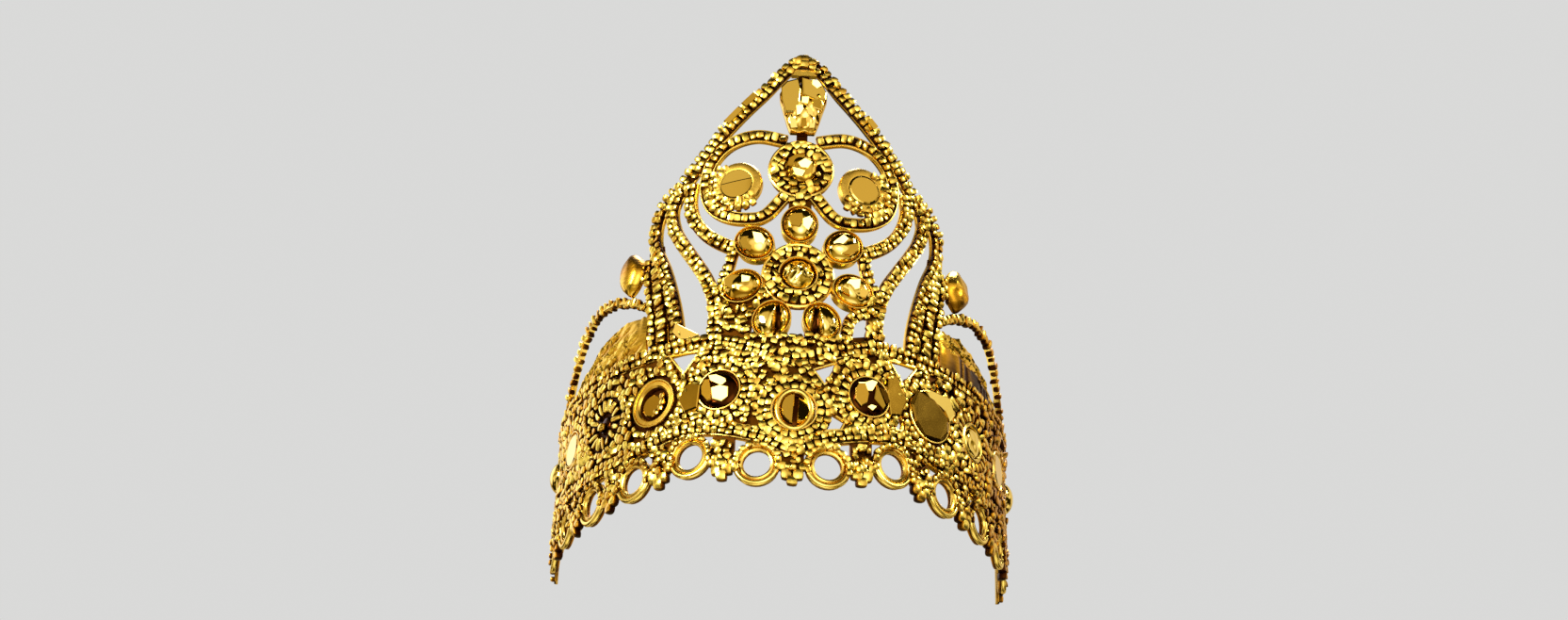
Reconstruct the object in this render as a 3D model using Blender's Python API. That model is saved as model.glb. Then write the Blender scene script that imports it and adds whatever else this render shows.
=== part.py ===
"""A small gold crown for a deity figure.

The crown is made as a goldsmith makes it. Wires, rings, cups and grains are laid out and soldered
flat on the bench, with X across, Y up the crown and Z out towards the viewer. The flat work is then
bent round an oval former, open at the back. Lengths are in millimetres until the last step.
"""
import math

import bmesh
import bpy
import numpy as np
from mathutils import Matrix

MILLIMETRE = 0.001
SOLDER = 0.17
FIT = 0.06

# The oval former: half its width, and how far its front stands before its widest line
FORMER_HALF_WIDTH = 22.4
FORMER_FRONT = 27.0

# Sections of the wires: width along the surface and thickness through it
DOUBLE_WIRE = (1.3, 0.96)
SIDE_WIRE = (1.3, 0.92)
INNER_WIRE = (1.3, 0.88)
SCROLL_WIRE = (1.3, 0.84)
SINGLE_WIRE = (0.95, 0.86)
POST_WIRE = (0.95, 0.8)
FINE_WIRE = (0.8, 0.78)
BORDER_WIRE = (1.4, 1.04)
TOP_BORDER_WIRE = (1.4, 0.99)
PEAK_BAR_WIRE = (0.9, 0.7)
DISC_TIE_WIRE = (1.9, 0.6)
ROSETTE_TIE_WIRE = (2.2, 0.66)

# The fringe of open rings that the crown stands on
FRINGE_RINGS_A_SIDE = 6
FRINGE_PITCH = 6.45
FRINGE_RADIUS = 1.8
FRINGE_WIDTH = 1.1
FRINGE_THICKNESS = 0.9
FRINGE_LIFTS = (0.0, 1.3, 0.35, 0.0, 0.0, 0.0)
FOOT_FLAT = 0.12

# The webs between the rings end in clusters of three grains. Each lobe of a cluster is given as its
# middle in grain radii and the part of its rim that shows, in degrees.
WEB_THICKNESS = 0.62
WEB_TUCK = 0.3
GRAIN_RADIUS = 0.56
CLOVER_LOBES = ((0.95, 0.3, 60, -60), (0.0, -0.7, -15, -165), (-0.95, 0.3, 240, 120))

# The band: a row of round settings between two borders
SETTING_PITCH = 7.0
SETTINGS_A_SIDE = 5
SETTING_HOLE = 1.82
SETTING_RIM = 1.75
SETTING_THICKNESS = 0.92
SETTING_HEIGHT = 9.85
CENTRE_SETTING_HEIGHT = 7.6
BAND_TOP = 15.15
BAND_PLATE_THICKNESS = 0.5
DIP_ROUTE = [(0.0, BAND_TOP - 2.4), (3.1, BAND_TOP - 1.4), (5.6, BAND_TOP - 0.55), (8.0, BAND_TOP)]
LEVEL_STOPS = 12

# The open windows between the settings on the right, as corners. The left has the same.
WINDOWS = [
    [(1.7, 11.9), (2.8, 10.4), (4.1, 13.0)],
    [(9.2, 14.3), (10.8, 12.2), (12.6, 14.6)],
    [(3.5, 7.6), (2.7, 5.8), (4.4, 6.1), (4.8, 7.0)],
    [(10.2, 9.1), (9.9, 7.4), (10.7, 7.4), (10.9, 8.5)],
]

# The front panel, as heights above the floor and distances from the centre line
PEAK_HEIGHT = 45.9
ARCH_SHOULDER = (11.3, 33.9)
ROSETTE_HEIGHT = 33.45
ROSETTE_RADIUS = 2.45
ROSETTE_WIDTH = 1.5
ROSETTE_THICKNESS = 0.98
DISC_PLACE = (6.2, 31.9)
DISC_RADIUS = 1.5
DISC_RIM = 0.95
DISC_RIM_THICKNESS = 0.9
FLOWER_HEIGHT = 21.75
FLOWER_RADIUS = 2.6
FLOWER_WIDTH = 1.75
FLOWER_THICKNESS = 1.06
PETALS = 7
PETAL_RADIUS = 1.8
PETAL_STRETCH = 1.16
PETAL_REACH = FLOWER_RADIUS + FLOWER_WIDTH / 2 + PETAL_RADIUS * PETAL_STRETCH - SOLDER
PETAL_WALL = 0.42
PETAL_CUP_THICKNESS = 1.3
DROP_HEIGHT = 40.9
DROP_TIP = 3.05
DROP_SIDE = [(1.15, 2.7), (1.95, 2.0), (2.35, 1.1), (2.3, 0.2), (1.95, -1.0), (1.6, -2.3), (1.25, -3.4)]
DROP_RISE = 1.5
PEAK_BAR_DROP = 1.35
PEAK_BAR_REACH = 1.3
FILLER_THICKNESS = 0.56
FOOT_RAIL_THICKNESS = 0.84
STRAP_WIDTH = 1.1
STRAP_THICKNESS = 0.24

# The polished pieces
DOME_RISE = 1.25
PETAL_RISE = 1.45
DISC_THICKNESS = 0.9
BACK_DEPTH = 0.3

# The shoulder studs and the leaves inside the wings
STUD_PLACE = (18.1, 25.0)
STUD_HALF_WIDTH = 1.7
STUD_HALF_HEIGHT = 2.4
STUD_RISE = 1.5
LEAF_THICKNESS = 0.4
LEAF_TOP = [(15.5, 3.6), (18.5, 4.0), (22.5, 3.12), (28.7, 0.2)]

# How finely the shapes are divided
STEP = 2.0
LONG_STEP = 3.3
CURVE_TABLE = 721
CURVE_SHARES = 24
RING_SIDES = 12
WIDE_RING_SIDES = 16
CUP_SIDES = 9
OVAL_SIDES = 10
MERGE = 0.0015
CUTTER_REACH = 80.0
CUTTER_THICKNESS = 6.0

PANEL_FOOT = BAND_TOP + BORDER_WIRE[0] / 2 + FIT
BAND_END = FRINGE_RINGS_A_SIDE * FRINGE_PITCH


def clear_scene():
    """Empties the file that the script starts in."""
    for item in list(bpy.data.objects):
        bpy.data.objects.remove(item, do_unlink=True)


def new_collection(name):
    """A collection linked to the scene."""
    collection = bpy.data.collections.new(name)
    bpy.context.scene.collection.children.link(collection)
    return collection


clear_scene()
CROWN = new_collection("deity_crown")
BENCH = new_collection("bench")


def gold(name, colour, roughness):
    """A gold of one colour and polish."""
    material = bpy.data.materials.new(name)
    material.use_nodes = True
    shader = material.node_tree.nodes["Principled BSDF"]
    shader.inputs["Base Color"].default_value = (*colour, 1.0)
    shader.inputs["Metallic"].default_value = 1.0
    shader.inputs["Roughness"].default_value = roughness
    return material


BEADED_GOLD = gold("beaded_gold", (0.83, 0.53, 0.11), 0.26)
POLISHED_GOLD = gold("polished_gold", (0.86, 0.58, 0.15), 0.1)
LEAF_GOLD = gold("satin_leaf_gold", (0.87, 0.55, 0.1), 0.34)


# The bend round the former

def former_table():
    """The oval's angle at each length along it, measured from the middle of its front."""
    angle = np.linspace(-math.pi, math.pi, CURVE_TABLE)
    speed = np.hypot(FORMER_HALF_WIDTH * np.cos(angle), FORMER_FRONT * np.sin(angle))
    steps = (speed[1:] + speed[:-1]) / 2 * np.diff(angle)
    length = np.concatenate(([0.0], np.cumsum(steps)))
    return length - length[CURVE_TABLE // 2], angle


FORMER_LENGTHS, FORMER_ANGLES = former_table()
FRONT_RELIEF = 1.5
PLAN_CENTRE = (FORMER_FRONT + FRONT_RELIEF - SINGLE_WIRE[0] / 2) / 2


def bend(points):
    """Carries flat points (across, up, out) round the oval, and turns them to metres."""
    across, up, out = points[:, 0], points[:, 1], points[:, 2]
    angle = np.interp(across, FORMER_LENGTHS, FORMER_ANGLES)
    normal_x = np.sin(angle) / FORMER_HALF_WIDTH
    normal_y = -np.cos(angle) / FORMER_FRONT
    length = np.hypot(normal_x, normal_y)
    x = FORMER_HALF_WIDTH * np.sin(angle) + out * normal_x / length
    y = PLAN_CENTRE - FORMER_FRONT * np.cos(angle) + out * normal_y / length
    return np.column_stack((x, y, up)) * MILLIMETRE


# Helpers that make flat pieces on the bench

def smooth_route(points, step):
    """A smooth curve through points, as evenly spaced points about a step apart."""
    points = np.asarray(points, dtype=float)
    before = np.vstack((2 * points[0] - points[1], points[:-1]))
    after = np.vstack((points[1:], 2 * points[-1] - points[-2]))
    slopes = (after - before) / 2
    share = np.linspace(0.0, 1.0, CURVE_SHARES, endpoint=False)[:, None]
    pieces = []
    for start, end, slope, next_slope in zip(points[:-1], points[1:], slopes[:-1], slopes[1:]):
        pieces.append((2 * share**3 - 3 * share**2 + 1) * start + (share**3 - 2 * share**2 + share) * slope
                      + (3 * share**2 - 2 * share**3) * end + (share**3 - share**2) * next_slope)
    dense = np.vstack(pieces + [points[-1:]])
    along = np.concatenate(([0.0], np.cumsum(np.hypot(*np.diff(dense, axis=0).T))))
    stops = np.linspace(0.0, along[-1], max(2, round(along[-1] / step) + 1))
    return np.column_stack([np.interp(stops, along, dense[:, axis]) for axis in (0, 1)])


def put_on_bench(name, mesh):
    """A bench object from a finished mesh."""
    piece = bpy.data.objects.new(name, mesh)
    BENCH.objects.link(piece)
    return piece


def curve_to_piece(curve_object, flatten=1.0):
    """Turns a bevelled curve into a closed mesh, pressed to a share of its height."""
    bpy.context.view_layer.update()
    depsgraph = bpy.context.evaluated_depsgraph_get()
    mesh = bpy.data.meshes.new_from_object(curve_object.evaluated_get(depsgraph))
    form = bmesh.new()
    form.from_mesh(mesh)
    bmesh.ops.remove_doubles(form, verts=form.verts, dist=MERGE)
    bmesh.ops.scale(form, vec=(1.0, 1.0, flatten), verts=form.verts)
    bmesh.ops.recalc_face_normals(form, faces=form.faces)
    form.to_mesh(mesh)
    form.free()
    piece = put_on_bench(curve_object.name, mesh)
    bpy.data.objects.remove(curve_object, do_unlink=True)
    return piece


def wire(name, route, section, step=STEP, sides=4):
    """A wire of flattened section soldered down along a smooth route of (across, up) points."""
    width, thickness = section
    curve = bpy.data.curves.new(name, "CURVE")
    curve.dimensions = "3D"
    curve.twist_mode = "Z_UP"
    curve.bevel_depth = width / 2
    curve.bevel_resolution = (sides - 4) // 2
    curve.use_fill_caps = True
    stops = smooth_route(route, step)
    spline = curve.splines.new("POLY")
    spline.points.add(len(stops) - 1)
    for point, (across, up) in zip(spline.points, stops):
        point.co = (across, up, 0.0, 1.0)
    return curve_to_piece(put_on_bench(name, curve), thickness / width)


def strip(name, across, low, high, width, thickness, out=0.0):
    """An upright flat strip between two heights."""
    left, right = across - width / 2, across + width / 2
    return plate(name, [(left, low), (right, low), (right, high), (left, high)], thickness, out)


def plate(name, outline, thickness, out=0.0):
    """A flat plate cut to an outline, its middle as far out as given."""
    curve = bpy.data.curves.new(name, "CURVE")
    curve.dimensions = "2D"
    curve.fill_mode = "BOTH"
    curve.extrude = thickness / 2
    spline = curve.splines.new("POLY")
    spline.points.add(len(outline) - 1)
    for point, (across, up) in zip(spline.points, outline):
        point.co = (across, up, 0.0, 1.0)
    spline.use_cyclic_u = True
    piece = curve_to_piece(put_on_bench(name, curve))
    piece.data.transform(Matrix.Translation((0.0, 0.0, out)))
    return piece


def ribbon(name, top, foot, thickness):
    """An upright plate between a top edge and a foot edge, in even steps along both."""
    front, back = np.full((len(top), 1), thickness / 2), np.full((len(top), 1), -thickness / 2)
    corners = np.stack((np.hstack((top, front)), np.hstack((foot, front)),
                        np.hstack((foot, back)), np.hstack((top, back))), axis=1)
    faces = [(0, 1, 2, 3), tuple(range(4 * len(top) - 4, 4 * len(top)))]
    for start in range(0, 4 * len(top) - 4, 4):
        for corner in range(4):
            after = (corner + 1) % 4
            faces.append((start + corner, start + after, start + 4 + after, start + 4 + corner))
    mesh = bpy.data.meshes.new(name)
    mesh.from_pydata(corners.reshape(-1, 3).tolist(), [], faces)
    form = bmesh.new()
    form.from_mesh(mesh)
    bmesh.ops.recalc_face_normals(form, faces=form.faces)
    form.to_mesh(mesh)
    form.free()
    return put_on_bench(name, mesh)


def ring(name, place, radius, width, thickness, segments=RING_SIDES, sides=4, stretch=1.0, turn=0.0):
    """A wire ring lying flat, its section pressed to the thickness. It can be drawn out one way."""
    bpy.ops.mesh.primitive_torus_add(major_radius=radius, minor_radius=width / 2,
                                     major_segments=segments, minor_segments=sides)
    piece = bpy.context.object
    piece.name = name
    for collection in list(piece.users_collection):
        collection.objects.unlink(piece)
    BENCH.objects.link(piece)
    half_turn = Matrix.Rotation(math.pi / segments, 4, "Z")
    press = Matrix.Diagonal((stretch, 1.0, thickness / width, 1.0))
    lie = Matrix.Translation((*place, 0.0)) @ Matrix.Rotation(turn, 4, "Z")
    piece.data.transform(lie @ press @ half_turn)
    piece.matrix_world = Matrix.Identity(4)
    return piece


def oval(half_width, half_height, segments=OVAL_SIDES, turn=0.0):
    """The outline of an oval about its middle, as points, the half width lying along the turn."""
    angles = np.arange(segments) * 2 * math.pi / segments
    along, beside = half_width * np.cos(angles), half_height * np.sin(angles)
    return np.column_stack((along * math.cos(turn) - beside * math.sin(turn),
                            along * math.sin(turn) + beside * math.cos(turn)))


def dome(name, place, outline, rise, rows=2):
    """A domed piece with a flat back, over an outline given about its place."""
    count = len(outline)
    turns = np.arange(rows) * math.pi / 2 / rows
    shares = np.concatenate(([1.0], np.cos(turns)))
    heights = np.concatenate(([-BACK_DEPTH], rise * np.sin(turns)))
    points = np.empty((rows + 1, count, 3))
    points[:, :, :2] = np.asarray(outline) * shares[:, None, None] + place
    points[:, :, 2] = heights[:, None]
    top = (rows + 1) * count
    faces = []
    for corner in range(count):
        after = (corner + 1) % count
        faces.append((after, corner, top + 1))
        for start in range(0, rows * count, count):
            faces.append((start + corner, start + after, start + count + after, start + count + corner))
        faces.append((top - count + corner, top - count + after, top))
    mesh = bpy.data.meshes.new(name)
    middles = [(*place, rise), (*place, -BACK_DEPTH)]
    mesh.from_pydata(points.reshape(-1, 3).tolist() + middles, [], faces)
    return put_on_bench(name, mesh)


def cutter_below(height):
    """A block that reaches down from a height, for filing a foot flat."""
    form = bmesh.new()
    bmesh.ops.create_cube(form, size=CUTTER_REACH)
    bmesh.ops.translate(form, vec=(0.0, height - CUTTER_REACH / 2, 0.0), verts=form.verts)
    mesh = bpy.data.meshes.new("cutter")
    form.to_mesh(mesh)
    form.free()
    return put_on_bench("cutter", mesh)


# Soldering flat pieces together, and bending the result

def solder(name, pieces, cutters=()):
    """Joins flat pieces into one solid, and files away what the cutters cover."""
    base, others = pieces[0], pieces[1:]
    if others:
        tray = new_collection(name + "_tray")
        for piece in others:
            tray.objects.link(piece)
        join = base.modifiers.new("solder", "BOOLEAN")
        join.operation = "UNION"
        join.solver = "EXACT"
        join.operand_type = "COLLECTION"
        join.collection = tray
    for cutter in cutters:
        cut = base.modifiers.new("file", "BOOLEAN")
        cut.operation = "DIFFERENCE"
        cut.solver = "EXACT"
        cut.object = cutter
    bpy.context.view_layer.update()
    depsgraph = bpy.context.evaluated_depsgraph_get()
    mesh = bpy.data.meshes.new_from_object(base.evaluated_get(depsgraph))
    mesh.name = name
    for piece in list(pieces) + list(cutters):
        bpy.data.objects.remove(piece, do_unlink=True)
    if others:
        bpy.data.collections.remove(tray)
    return mesh


def finish(name, mesh, material):
    """Bends a flat mesh round the former and adds it to the crown."""
    form = bmesh.new()
    form.from_mesh(mesh)
    bmesh.ops.remove_doubles(form, verts=form.verts, dist=MERGE)
    bmesh.ops.dissolve_degenerate(form, edges=form.edges, dist=MERGE)
    bmesh.ops.triangulate(form, faces=form.faces)
    form.to_mesh(mesh)
    form.free()
    points = np.empty(len(mesh.vertices) * 3)
    mesh.vertices.foreach_get("co", points)
    mesh.vertices.foreach_set("co", bend(points.reshape(-1, 3)).ravel())
    mesh.materials.clear()
    mesh.materials.append(material)
    mesh.shade_smooth()
    mesh.set_sharp_from_angle(angle=math.radians(40))
    mesh.update()
    piece = bpy.data.objects.new(name, mesh)
    CROWN.objects.link(piece)
    return piece


def mirrored(route, side):
    """A route on the right, or mirrored to the left."""
    return [(side * across, up) for across, up in route]


# The head band

def fringe_centre(number):
    """Where the fringe ring of a number, counted from the centre, has its middle."""
    outer = FRINGE_RADIUS + FRINGE_WIDTH / 2
    return (number + 0.5) * FRINGE_PITCH, outer - FOOT_FLAT + FRINGE_LIFTS[number]


def setting_centre(number):
    """Where the band's setting of a number, counted from the centre, has its middle."""
    return number * SETTING_PITCH, CENTRE_SETTING_HEIGHT if number == 0 else SETTING_HEIGHT


def lower_border_route():
    """The lower border lies on the rings, and dips between the first two under the centre setting."""
    above_ring = FRINGE_RADIUS + FRINGE_WIDTH / 2 + BORDER_WIRE[0] / 2 - SOLDER
    dip = CENTRE_SETTING_HEIGHT - SETTING_HOLE - SETTING_RIM - SOLDER
    half = []
    for number in range(FRINGE_RINGS_A_SIDE):
        across, up = fringe_centre(number)
        half.append((across, up + above_ring))
    half.append((BAND_END, half[-1][1]))
    return mirrored(half[::-1], -1) + [(0.0, dip)] + half


def top_border_route():
    """The upper border is level, and dips under the middle of the panel."""
    level = [(across, BAND_TOP) for across in np.linspace(DIP_ROUTE[-1][0], BAND_END, LEVEL_STOPS)]
    half = DIP_ROUTE + level[1:]
    return mirrored(half[:0:-1], -1) + half


def band_plate():
    """The plate that the grains between the settings are soldered to, with its holes and windows."""
    stops = np.arange(-2 * SETTINGS_A_SIDE - 1, 2 * SETTINGS_A_SIDE + 2) * SETTING_PITCH / 2
    edges = []
    for route in (top_border_route(), lower_border_route()):
        border = smooth_route(route, LONG_STEP)
        edges.append(np.column_stack((stops, np.interp(stops, border[:, 0], border[:, 1]))))
    cutters = [plate("window", mirrored(corners, side), CUTTER_THICKNESS)
               for corners in WINDOWS for side in (-1, 1)]
    inside_ring = SETTING_HOLE + SETTING_RIM / 2 - SOLDER
    for number in range(-SETTINGS_A_SIDE, SETTINGS_A_SIDE + 1):
        place = (number * SETTING_PITCH, setting_centre(abs(number))[1])
        cutters.append(plate("hole", oval(inside_ring, inside_ring, RING_SIDES) + place, CUTTER_THICKNESS))
    sheet = ribbon("band_sheet", *edges, BAND_PLATE_THICKNESS)
    return put_on_bench("band_plate", solder("band_plate", [sheet], cutters))


def clover_strip(name, across, top, foot, width, thickness):
    """An upright strip that ends below in a cluster of three grains."""
    lobe = GRAIN_RADIUS
    points = []
    for lobe_across, lobe_up, first, last in CLOVER_LOBES:
        for turn in np.radians(np.linspace(first, last, 3)):
            points.append((across + lobe * (lobe_across + math.cos(turn)),
                           foot + lobe * (1.0 + lobe_up + math.sin(turn))))
    shoulder = foot + 3 * lobe
    right, left = across + width / 2, across - width / 2
    outline = [(left, shoulder), (left, top), (right, top), (right, shoulder)] + points
    return plate(name, outline, thickness)


def head_band():
    """The band that goes round the head, soldered from borders, settings, rings and grains."""
    outer = FRINGE_RADIUS + FRINGE_WIDTH / 2
    rim_radius = SETTING_HOLE + SETTING_RIM / 2
    pieces = [
        wire("lower_border", lower_border_route(), BORDER_WIRE, LONG_STEP, 6),
        wire("top_border", top_border_route(), TOP_BORDER_WIRE, LONG_STEP, 6),
        band_plate(),
    ]
    for side in (-1, 1):
        post = [(side * BAND_END, FOOT_FLAT), (side * BAND_END, BAND_TOP)]
        pieces.append(wire("end_post", post, POST_WIRE, 2 * LONG_STEP))
        for number in range(FRINGE_RINGS_A_SIDE):
            across, up = fringe_centre(number)
            pieces.append(ring("fringe_ring", (side * across, up), FRINGE_RADIUS, FRINGE_WIDTH,
                               FRINGE_THICKNESS))
    web = FRINGE_PITCH - 2 * outer + 2 * SOLDER
    for number in range(-FRINGE_RINGS_A_SIDE + 1, FRINGE_RINGS_A_SIDE):
        count = abs(number)
        middle = (fringe_centre(max(count - 1, 0))[1] + fringe_centre(count)[1]) / 2
        foot = middle - FRINGE_RADIUS
        pieces.append(clover_strip("web", number * FRINGE_PITCH, middle + outer - WEB_TUCK, foot, web,
                                   WEB_THICKNESS))
    for number in range(-SETTINGS_A_SIDE, SETTINGS_A_SIDE + 1):
        place = (number * SETTING_PITCH, setting_centre(abs(number))[1])
        pieces.append(ring("setting", place, rim_radius, SETTING_RIM, SETTING_THICKNESS))
    return finish("head_band", solder("head_band", pieces, [cutter_below(0.0)]), BEADED_GOLD)


# The front panel

ARCH_ROUTE = [(0.0, PEAK_HEIGHT), (4.2, 41.9), (8.3, 37.6), ARCH_SHOULDER, (12.8, 31.9), (13.3, 30.2),
              (12.8, 28.2), (11.7, 26.3), (10.3, 24.2), (9.0, 22.1), (8.1, 19.8), (7.8, 17.6),
              (7.9, PANEL_FOOT - 1)]
SIDE_ROUTE = [(12.2, 33.0), (13.9, 31.8), (15.0, 30.2), (15.3, 28.4), (15.0, 26.6), (13.9, 24.3),
              (13.0, 21.8), (12.3, 19.4), (11.9, 17.4), (11.8, PANEL_FOOT - 1)]
SECOND_ROUTE = [(15.3, 27.0), (14.95, 24.6), (14.3, 21.5), (13.7, 18.6), (13.4, PANEL_FOOT - 1)]
THIRD_ROUTE = [(15.85, 26.0), (15.9, 23.6), (15.5, 21.2), (15.0, 18.4), (14.8, PANEL_FOOT - 1)]
INNER_ROUTE = [(11.0, 33.0), (11.2, 31.0), (10.7, 29.0), (9.5, 27.2), (8.0, 25.9), (6.1, 24.8)]
SCROLL_ROUTE = [(1.5, 36.6), (4.4, 37.3), (6.9, 36.8), (8.6, 35.4), (9.4, 33.6), (9.4, 31.6), (8.6, 29.7),
                (7.0, 28.5), (5.0, 28.0), (3.3, 28.3), (1.4, 30.5)]
TIE_ROUTE = [(6.3, 24.7), (6.8, 22.6), (7.7, 20.3)]
DISC_TIE_ROUTE = [(8.2, 31.3), (9.3, 31.0)]


def petal_places():
    """The seven petals stand round the flower, one straight up, as (place, direction) pairs."""
    directions = math.pi / 2 + np.arange(PETALS) * 2 * math.pi / PETALS
    return [((PETAL_REACH * math.cos(direction), FLOWER_HEIGHT + PETAL_REACH * math.sin(direction)),
             direction) for direction in directions]


def cup_points(number, turns):
    """Points on the wall of the cup of a number, at turns from the way it points."""
    place, direction = petal_places()[number]
    middle = PETAL_RADIUS - PETAL_WALL / 2
    along, beside = middle * PETAL_STRETCH * np.cos(turns), middle * np.sin(turns)
    across = place[0] + along * math.cos(direction) - beside * math.sin(direction)
    up = place[1] + along * math.sin(direction) + beside * math.cos(direction)
    return list(zip(across, up))


def filler_outline():
    """The granulated field between two right-hand cups, the arch and the band."""
    low_edge = cup_points(4, np.radians((85.0, 45.0, 5.0)))
    side_edge = cup_points(5, np.radians((-30.0, -85.0)))
    foot = DIP_ROUTE[0][1]
    return [(low_edge[-1][0], foot), (7.6, foot), (7.7, side_edge[0][1])] + side_edge + low_edge


def panel_foot_cutter():
    """A block up to the line that the panel stands on, just above the band's upper border."""
    stops = smooth_route(top_border_route(), LONG_STEP)
    along = np.gradient(stops, axis=0)
    upwards = np.column_stack((-along[:, 1], along[:, 0])) / np.hypot(*along.T)[:, None]
    line = stops + upwards * (BORDER_WIRE[0] / 2 + FIT)
    return plate("cutter", [(-BAND_END, 0.0), (BAND_END, 0.0)] + line[::-1].tolist(), CUTTER_THICKNESS)


def front_panel():
    """The tall pointed panel, soldered from beaded wires, rings and cups."""
    pieces = [ring("rosette_ring", (0.0, ROSETTE_HEIGHT), ROSETTE_RADIUS, ROSETTE_WIDTH, ROSETTE_THICKNESS,
                   WIDE_RING_SIDES),
              ring("flower_ring", (0.0, FLOWER_HEIGHT), FLOWER_RADIUS, FLOWER_WIDTH, FLOWER_THICKNESS,
                   WIDE_RING_SIDES)]
    arch = mirrored(ARCH_ROUTE[:0:-1], -1) + ARCH_ROUTE
    pieces.append(wire("arch", arch, DOUBLE_WIRE, STEP, 6))
    for side in (-1, 1):
        pieces += [
            wire("side", mirrored(SIDE_ROUTE, side), SIDE_WIRE, STEP, 6),
            wire("second", mirrored(SECOND_ROUTE, side), SINGLE_WIRE),
            wire("third", mirrored(THIRD_ROUTE, side), FINE_WIRE),
            wire("inner", mirrored(INNER_ROUTE, side), INNER_WIRE),
            wire("scroll", mirrored(SCROLL_ROUTE, side), SCROLL_WIRE),
            wire("tie", mirrored(TIE_ROUTE, side), SINGLE_WIRE),
            ring("disc_rim", (side * DISC_PLACE[0], DISC_PLACE[1]), DISC_RADIUS + FIT + DISC_RIM / 2,
                 DISC_RIM, DISC_RIM_THICKNESS),
            wire("disc_tie", mirrored(DISC_TIE_ROUTE, side), DISC_TIE_WIRE),
            plate("filler", mirrored(filler_outline(), side), FILLER_THICKNESS),
        ]
    for place, direction in petal_places():
        pieces.append(ring("petal_cup", place, PETAL_RADIUS - PETAL_WALL / 2, PETAL_WALL,
                           PETAL_CUP_THICKNESS, CUP_SIDES, stretch=PETAL_STRETCH, turn=direction))
    bar = PEAK_HEIGHT - PEAK_BAR_DROP
    pieces.append(wire("peak_bar", [(-PEAK_BAR_REACH, bar), (PEAK_BAR_REACH, bar)], PEAK_BAR_WIRE))
    behind = -BACK_DEPTH - FIT - STRAP_THICKNESS / 2
    pieces.append(strip("drop_strap", 0.0, ROSETTE_HEIGHT + ROSETTE_RADIUS, bar, STRAP_WIDTH,
                        STRAP_THICKNESS, behind))
    pieces.append(wire("rosette_tie", [(0.0, ROSETTE_HEIGHT - ROSETTE_RADIUS), cup_points(0, [0.0])[0]],
                       ROSETTE_TIE_WIRE))
    pieces.append(strip("foot_rail", 0.0, DIP_ROUTE[0][1], cup_points(4, [0.0])[0][1],
                        2 * ARCH_ROUTE[-1][0], FOOT_RAIL_THICKNESS))
    return finish("front_panel", solder("front_panel", pieces, [panel_foot_cutter()]), BEADED_GOLD)


# The polished pieces set in the rings and cups

def setting_flat(hole, segments):
    """The largest radius that fits a ring's hole of flat sides, with its clearance."""
    return hole * math.cos(math.pi / segments) - FIT


def polished(name, piece):
    """A polished piece, bent on with the rest."""
    return finish(name, solder(name, [piece]), POLISHED_GOLD)


def polished_pieces():
    """The drop, buttons, petals and discs."""
    drop_outline = DROP_SIDE[::-1] + [(0.0, DROP_TIP)] + mirrored(DROP_SIDE, -1)
    polished("top_drop", dome("drop", (0.0, DROP_HEIGHT), drop_outline, DROP_RISE, 3))
    button = setting_flat(ROSETTE_RADIUS - ROSETTE_WIDTH / 2, WIDE_RING_SIDES)
    polished("rosette_button", dome("button", (0.0, ROSETTE_HEIGHT), oval(button, button), DOME_RISE))
    button = setting_flat(FLOWER_RADIUS - FLOWER_WIDTH / 2, WIDE_RING_SIDES)
    polished("flower_button", dome("button", (0.0, FLOWER_HEIGHT), oval(button, button), DOME_RISE))
    cup = setting_flat(PETAL_RADIUS - PETAL_WALL, CUP_SIDES)
    for number, (place, direction) in enumerate(petal_places(), start=1):
        outline = oval(cup * PETAL_STRETCH, cup, CUP_SIDES, direction)
        polished(f"petal_{number}", dome("petal", place, outline, PETAL_RISE))
    for side, word in ((-1, "left"), (1, "right")):
        disc(f"scroll_disc_{word}", (side * DISC_PLACE[0], DISC_PLACE[1]),
             setting_flat(DISC_RADIUS + FIT, RING_SIDES))


def disc(name, place, radius):
    """A flat disc with a cut, polished face."""
    polished(name, plate("disc", oval(radius, radius, RING_SIDES) + place, DISC_THICKNESS))


def settings():
    """Buttons and discs in the holes of the band's settings."""
    hole = setting_flat(SETTING_HOLE, RING_SIDES)
    polished("band_button_centre", dome("button", setting_centre(0), oval(hole, hole), DOME_RISE))
    for side, word in ((-1, "left"), (1, "right")):
        for number in range(1, SETTINGS_A_SIDE + 1):
            across, up = setting_centre(number)
            name = f"band_button_{word}_{number}"
            if number % 2:
                polished(name, dome("button", (side * across, up), oval(hole, hole), DOME_RISE))
            else:
                disc(name, (side * across, up), hole)


# The shoulders and wings

WING_ROUTE = [(16.5, 21.0), (18.6, 22.1), (21.2, 22.9), (24.2, 23.0), (27.0, 21.9), (29.8, 19.7),
              (32.0, 17.6), (33.8, PANEL_FOOT - 1)]


def wings():
    """On each side a marquise stud, a beaded arc and a leaf inside it, all above the band."""
    leaf_top = smooth_route(LEAF_TOP, STEP) + (0.0, PANEL_FOOT)
    leaf_foot = np.column_stack((leaf_top[:, 0], np.full(len(leaf_top), PANEL_FOOT)))
    for side, word in ((-1, "left"), (1, "right")):
        place = (side * STUD_PLACE[0], STUD_PLACE[1])
        outline = oval(STUD_HALF_WIDTH, STUD_HALF_HEIGHT, RING_SIDES)
        polished(f"shoulder_stud_{word}", dome("stud", place, outline, STUD_RISE))
        arc = wire("arc", mirrored(WING_ROUTE, side), SINGLE_WIRE)
        finish(f"wing_arc_{word}", solder(f"wing_arc_{word}", [arc], [cutter_below(PANEL_FOOT)]), BEADED_GOLD)
        leaf = ribbon("leaf", leaf_top * (side, 1.0), leaf_foot * (side, 1.0), LEAF_THICKNESS)
        finish(f"leaf_{word}", solder(f"leaf_{word}", [leaf]), LEAF_GOLD)


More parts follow.
